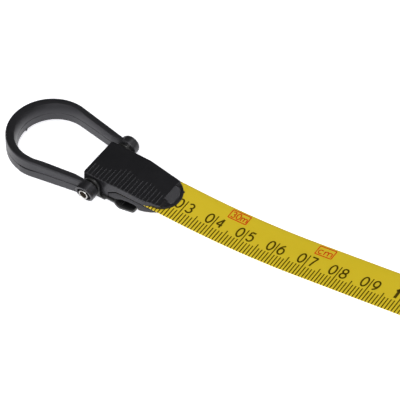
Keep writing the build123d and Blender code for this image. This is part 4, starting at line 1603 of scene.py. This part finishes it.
    def cross_head(self, place: Sequence[float], radius: float, depth: float, way: float) -> Shell:
        """Skin a screw head with a cross recess.

        Rings of points run from the head's middle out over a low dome, round its rim and down its
        side; inside either arm of the cross they are sunk.

        Args:
            place: x, y and z of the middle of the head's face.
            radius: head radius.
            depth: height of the head.
            way: 1 if the face looks along y and -1 if it looks against it.

        Returns:
            The closed shell.
        """
        face, dome = 0.93, 0.12
        r = np.concatenate([np.linspace(0.03, face, 30), [0.97, 1.0, 1.0]]) * radius
        rim = np.concatenate([-dome * np.linspace(0, face, 30) ** 2, [-0.16, -0.26, -depth]])
        angle = np.linspace(0, 2 * np.pi, 72, endpoint=False)
        u, v = r[:, None] * np.cos(angle), r[:, None] * np.sin(angle)
        arm_half, arm_end, side_run, end_run, recess = radius * np.array([0.17, 0.66, 0.05, 0.08, 0.35])
        arms = [
            eased((arm_half - np.abs(p)) / side_run) * eased((arm_end - np.abs(q)) / end_run)
            for p, q in ((u, v), (v, u))
        ]
        sunk = recess * np.maximum(*arms)
        points = np.stack([u, way * (rim[:, None] - sunk), v], -1)
        return loft(points + np.asarray(place, float))

    def screws(self) -> None:
        """Set cross-head screws into the back of the case and the crank's plate."""
        low, high = node_box("case_screws")
        r = self.screw_radius
        right, left = float(high[0]) - r, float(low[0]) + r
        upper, lower = high[2] - r, low[2] + r
        places = [(-right, upper), (right, upper), (left, lower), (self.lower_screw_x, lower)]
        heads = Shell.join([self.cross_head((x, self.side, z), r, self.screw_depth, 1.0) for x, z in places])
        piece("case_screw_heads", heads, Body.CASE, SCREW_STEEL, ("case_screws",))
        low, high = node_box("crank_plate_screws")
        r, face, depth = float(high[0]), float(low[1]), self.plate_screw_depth
        heads = Shell.join([self.cross_head((0.0, face, z), r, depth, -1.0) for z in (low[2] + r, high[2] - r)])
        piece("crank_plate_screw_heads", heads, Body.DRUM, SCREW_STEEL, ("crank_plate_screws",))

    def back_disc(self) -> None:
        """Turn a bare round panel with stepped rings for the back, open round the axle's head."""
        radii = [7.0, 7.6, 9.0, 9.4, 27.0, 27.6, 29.4, 30.2, 30.6, 33.0, 33.7, 34.2]
        heights = [-0.2, 0.45, 0.45, 0.2, 0.2, 0.5, 0.5, 0.15, 0.15, 0.55, 0.5, -0.2]
        loop = np.stack([radii, np.array(heights) + self.side], -1)
        shell = turned(loop, (0, 0, self.drum_z), Axis.Y, 128)
        piece("case_back_panel", shell, Body.CASE, CASE_PANEL, angle=25.0)

    def mouth_frame(self) -> None:
        """Carry an ellipse round a rounded rectangle at the mouth's nose, close to the case."""
        low, high = node_box("mouth_liner")
        before, beyond = 0.7, 0.5
        x, mid = -self.half - before, float(low[2] + high[2]) / 2
        wide, tall = float(high[1]) + beyond, float(high[2] - low[2]) / 2 + beyond
        r = self.mouth_corner
        path = np.concatenate([
            arc((sy * (wide - r), sz * (tall - r)), (r, r), start, start + 90, 7) for sy, sz, start in QUARTERS
        ])
        out = np.concatenate([arc((0, 0), (1, 1), start, start + 90, 7) for _, _, start in QUARTERS])
        angle = np.linspace(0, 2 * np.pi, 16, endpoint=False)
        half, depth = 0.8, 1.1
        y, z = (path[:, None, i] + out[:, None, i] * half * np.cos(angle) for i in range(2))
        points = np.stack([np.broadcast_to(x + depth * np.sin(angle), y.shape), y, z + mid], -1)
        piece("mouth_frame", loft(points, round_path=True), Body.CASE, COVER_BLACK)


@dataclass
class Crank:
    """Folding crank: the plate's raised ring, the arm and the knob."""

    drum_z: float
    ring_inset: float = 2.4
    ring_half: float = 0.9
    ring_height: float = 0.2
    ring_sunk: float = 0.15
    arm_corner: float = 2.0
    arm_bevel: float = 0.35
    tray_depth: float = 0.7
    tray_rim: float = 1.1
    pin_bore: float = 0.85
    knob_radius: float = 4.5
    knob_round: float = 1.0
    stud_radius: float = 1.5
    head_radius: float = 2.6
    head_recess: float = 1.6
    flutes: int = 12
    flute_depth: float = 0.05

    def build(self) -> None:
        """Make the plate ring, the arm and the knob."""
        self.plate_ring()
        self.arm()
        self.knob()

    def plate_ring(self) -> None:
        """Turn a low ring near the plate's edge."""
        low, high = node_box("crank_plate")
        face = float(node_box("crank_plate_screws")[0][1])
        radius, half = float(high[2] - low[2]) / 2 - self.ring_inset, self.ring_half
        foot = [[radius - half, -self.ring_sunk], [radius + half, -self.ring_sunk]]
        ring = np.concatenate([arc((radius, 0), (half, self.ring_height), 0, 180, 9), foot])
        shell = turned(ring * (1, -1) + (0, face), (0, 0, self.drum_z), Axis.Y, 120)
        piece("crank_plate_ring", shell, Body.DRUM, CRANK_PLASTIC)

    def arm(self) -> None:
        """Mould the arm with a sunk tray in its outer face and a barrel round the pivot pin."""
        low, high = node_box("crank_arm")
        near, far, tall = float(low[1]), float(high[1]), float(high[2] - low[2]) / 2
        barrel, corner, bore, edge, into_barrel = (far - near) / 2, self.arm_corner, self.pin_bore, 0.2, 0.9
        pivot = float(high[0]) - barrel
        end = pivot - into_barrel - corner
        outline = np.concatenate([
            arc((low[0] + tall, 0), (tall, tall), 90, 270, 33),
            arc((end, corner - tall), (corner, corner), -90, 0, 9),
            arc((end, tall - corner), (corner, corner), 0, 90, 9),
        ]) + (0, self.drum_z)
        inner, rim = barrel - edge, tall - edge
        tube = np.array([[bore, -tall], [inner, -tall], [barrel, -rim], [barrel, rim], [inner, tall], [bore, tall]])
        shells = [
            plate(outline, near, far, self.arm_bevel, self.tray_depth, self.tray_rim),
            turned(tube, (pivot, near + barrel, self.drum_z), Axis.Z, 48),
        ]
        piece("crank_arm_tray", Shell.join(shells), Body.CRANK, CRANK_PLASTIC, ("crank_arm",))

    def knob(self) -> None:
        """Turn the knob round its stud, with flutes along its grip and a recess for the stud's head.

        On the grip the radius is cut by the flute's depth times the square of half of one plus the
        cosine of the flutes' angle.
        """
        low, high = node_box("crank_knob")
        near, far, r, soft = float(low[1]), float(high[1]), self.knob_radius, self.knob_round
        stud_gap, head_gap, grip_end = 0.08, 0.3, 1.4
        bore, head, floor = self.stud_radius + stud_gap, self.head_radius + head_gap, far - self.head_recess
        tip = arc((r - soft, far - soft), (soft, soft), 0, 90, 7)
        root = arc((r - soft, near + soft), (soft, soft), -90, 0, 7)
        grip = np.stack([np.full(9, r), np.linspace(near + grip_end, far - grip_end, 9)], -1)
        loop = np.concatenate([[[bore, near]], root, grip, tip, [[head, far], [head, floor], [bore, floor]]])
        steps = 144
        turn = np.linspace(0, 2 * np.pi, steps, endpoint=False)[:, None]
        first = 1 + len(root)
        depth = np.zeros(len(loop))
        depth[first + 1 : first + len(grip) - 1] = self.flute_depth
        flute = 1 - depth[None, :] * (0.5 + 0.5 * np.cos(self.flutes * turn)) ** 2
        shell = turned(loop, (float(low[0] + high[0]) / 2, 0, self.drum_z), Axis.Y, steps, flute)
        piece("crank_knob_fluted", shell, Body.KNOB, CRANK_PLASTIC, ("crank_knob",))


@dataclass
class Stage:
    """Pale floor, soft light and the camera."""

    aim: tuple[float, float, float] = (-0.3665, 0.5438, -0.7549)
    eye: tuple[float, float, float] = (72.66, -372.2, 527.4)
    lens: float = 225.0
    sensor: float = 36.0
    light_target: tuple[float, float, float] = (-0.15, 0.0, 0.02)

    def build(self) -> None:
        """Set up camera, floor, lights and surroundings."""
        self.camera()
        self.floor()
        self.sky()
        self.light("key_light", (0.40, -1.05, 1.20), 0.9, 20.0)
        self.light("fill_light", (-0.05, -0.35, 1.60), 0.9, 9.0)
        self.light("facet_light", (0.10, 0.87, 1.30), 0.2, 2.9)
        self.light("side_light", (0.85, 0.85, 0.8), 0.5, 1.6)
        bpy.context.scene.view_settings.view_transform = "Standard"

    def camera(self) -> None:
        """Put the camera at the photograph's place."""
        data = bpy.data.cameras.new("photo_camera")
        data.lens, data.sensor_width = self.lens, self.sensor
        data.clip_start, data.clip_end = 0.01, 20.0
        made = bpy.data.objects.new("photo_camera", data)
        made.location = Vector(self.eye) * MM
        made.rotation_mode = "QUATERNION"
        made.rotation_quaternion = Vector(self.aim).to_track_quat("-Z", "Y")
        bpy.context.scene.collection.objects.link(made)
        bpy.context.scene.camera = made

    def floor(self) -> None:
        """Lay a wide pale floor that glows a little, as a lit table does."""
        mesh = bpy.data.meshes.new("floor")
        half, level = 6.0, -0.0002
        corners = [(right * half, up * half, level) for right, up in ((-1, -1), (1, -1), (1, 1), (-1, 1))]
        mesh.from_pydata(corners, [], [(0, 1, 2, 3)])
        made = bpy.data.objects.new("floor", mesh)
        material = bpy.data.materials.new("floor_white")
        material.use_nodes = True
        shader = material.node_tree.nodes["Principled BSDF"]
        socket(shader, "Base Color", (0.88, 0.88, 0.88, 1.0))
        socket(shader, "Roughness", 0.9)
        socket(shader, "Specular IOR Level", 0.1)
        socket(shader, "Emission Color", (0.95, 0.95, 1.0, 1.0))
        socket(shader, "Emission Strength", 0.6)
        mesh.materials.append(material)
        bpy.context.scene.collection.objects.link(made)

    def sky(self) -> None:
        """Surround with soft white: bright low down in front, dark high up behind the object.

        The light of a direction is the product of two smooth ramps of its dot product with a
        way; as a backdrop the surroundings are an even pale tone.
        """
        backdrop = 0.95
        ramps = (
            ((-0.3665, 0.5438, 0.7549), (-0.2, 0.6, 1.0, 0.04)),
            ((-0.50, -0.85, 0.15), (-0.4, 0.95, 0.06, 1.05)),
        )
        world = bpy.data.worlds.new("studio")
        world.use_nodes = True
        tree = world.node_tree
        place = tree.nodes.new("ShaderNodeTexCoord")
        values = []
        for way, limits in ramps:
            dot = tree.nodes.new("ShaderNodeVectorMath")
            dot.operation = "DOT_PRODUCT"
            dot.inputs[1].default_value = way
            tree.links.new(place.outputs["Generated"], dot.inputs[0])
            span = tree.nodes.new("ShaderNodeMapRange")
            span.interpolation_type = "SMOOTHSTEP"
            for key, value in zip(("From Min", "From Max", "To Min", "To Max"), limits):
                socket(span, key, value)
            tree.links.new(dot.outputs["Value"], span.inputs["Value"])
            values.append(span.outputs["Result"])
        back = tree.nodes["Background"]
        seen = tree.nodes.new("ShaderNodeLightPath").outputs["Is Camera Ray"]
        lit = math_node(tree, "MULTIPLY", *values)
        shown = math_node(tree, "SUBTRACT", backdrop, lit)
        tree.links.new(math_node(tree, "MULTIPLY_ADD", seen, shown, lit), back.inputs["Strength"])
        socket(back, "Color", (1.0, 1.0, 1.0, 1.0))
        bpy.context.scene.world = world

    def light(self, name: str, place: Sequence[float], size: float, power: float) -> None:
        """Hang a square soft light that faces the object.

        Args:
            name: its name.
            place: where it hangs, in metres.
            size: its side, in metres.
            power: watts.
        """
        data = bpy.data.lights.new(name, "AREA")
        data.size, data.energy = size, power
        made = bpy.data.objects.new(name, data)
        made.location = place
        made.rotation_mode = "QUATERNION"
        made.rotation_quaternion = (Vector(self.light_target) - made.location).to_track_quat("-Z", "Y")
        bpy.context.scene.collection.objects.link(made)


def dress_nodes() -> None:
    """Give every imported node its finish; the replaced ones keep theirs out of sight."""
    finishes = {
        COVER_BLACK: ("end_cover_top", "end_cover_bottom"),
        RING_BLACK: ("pull_ring",),
        CLAW_BLACK_AND_PAINTED_SHADE: ("end_claw",),
        PIN_STEEL: ("hinge_pin",),
        SCREW_STEEL: (
            "cover_rivets", "axle", "blade_anchor", "crank_plate_screws", "crank_pin", "knob_stud", "case_screws"
        ),
        BLADE_YELLOW: ("blade", "tape_pack"),
        CASE_BLACK: ("case_front", "case_back", "mouth_liner"),
        GRIP_RUBBER: ("grip_band", "base_pad"),
        CRANK_PLASTIC: ("crank_plate", "crank_arm", "crank_knob"),
        DRUM_PLASTIC: ("drum_core", "drum_flange_back", "drum_flange_front"),
        BEARING_PLASTIC: ("axle_bush", "bush_front"),
        FELT_GREY: ("wiper_pads",),
    }
    for finish, nodes in finishes.items():
        for node in nodes:
            dress(node, finish)


def main() -> None:
    """Build the stage, dress the solids and make every new piece."""
    Stage().build()
    dress_nodes()
    route = Route.read()
    Blade(route).build()
    EndCovers(route).build()
    PullRing(route).build()
    Hinge(route).build()
    case = Case.read()
    case.build()
    Crank(case.drum_z).build()


if __name__ == "__main__":
    main()
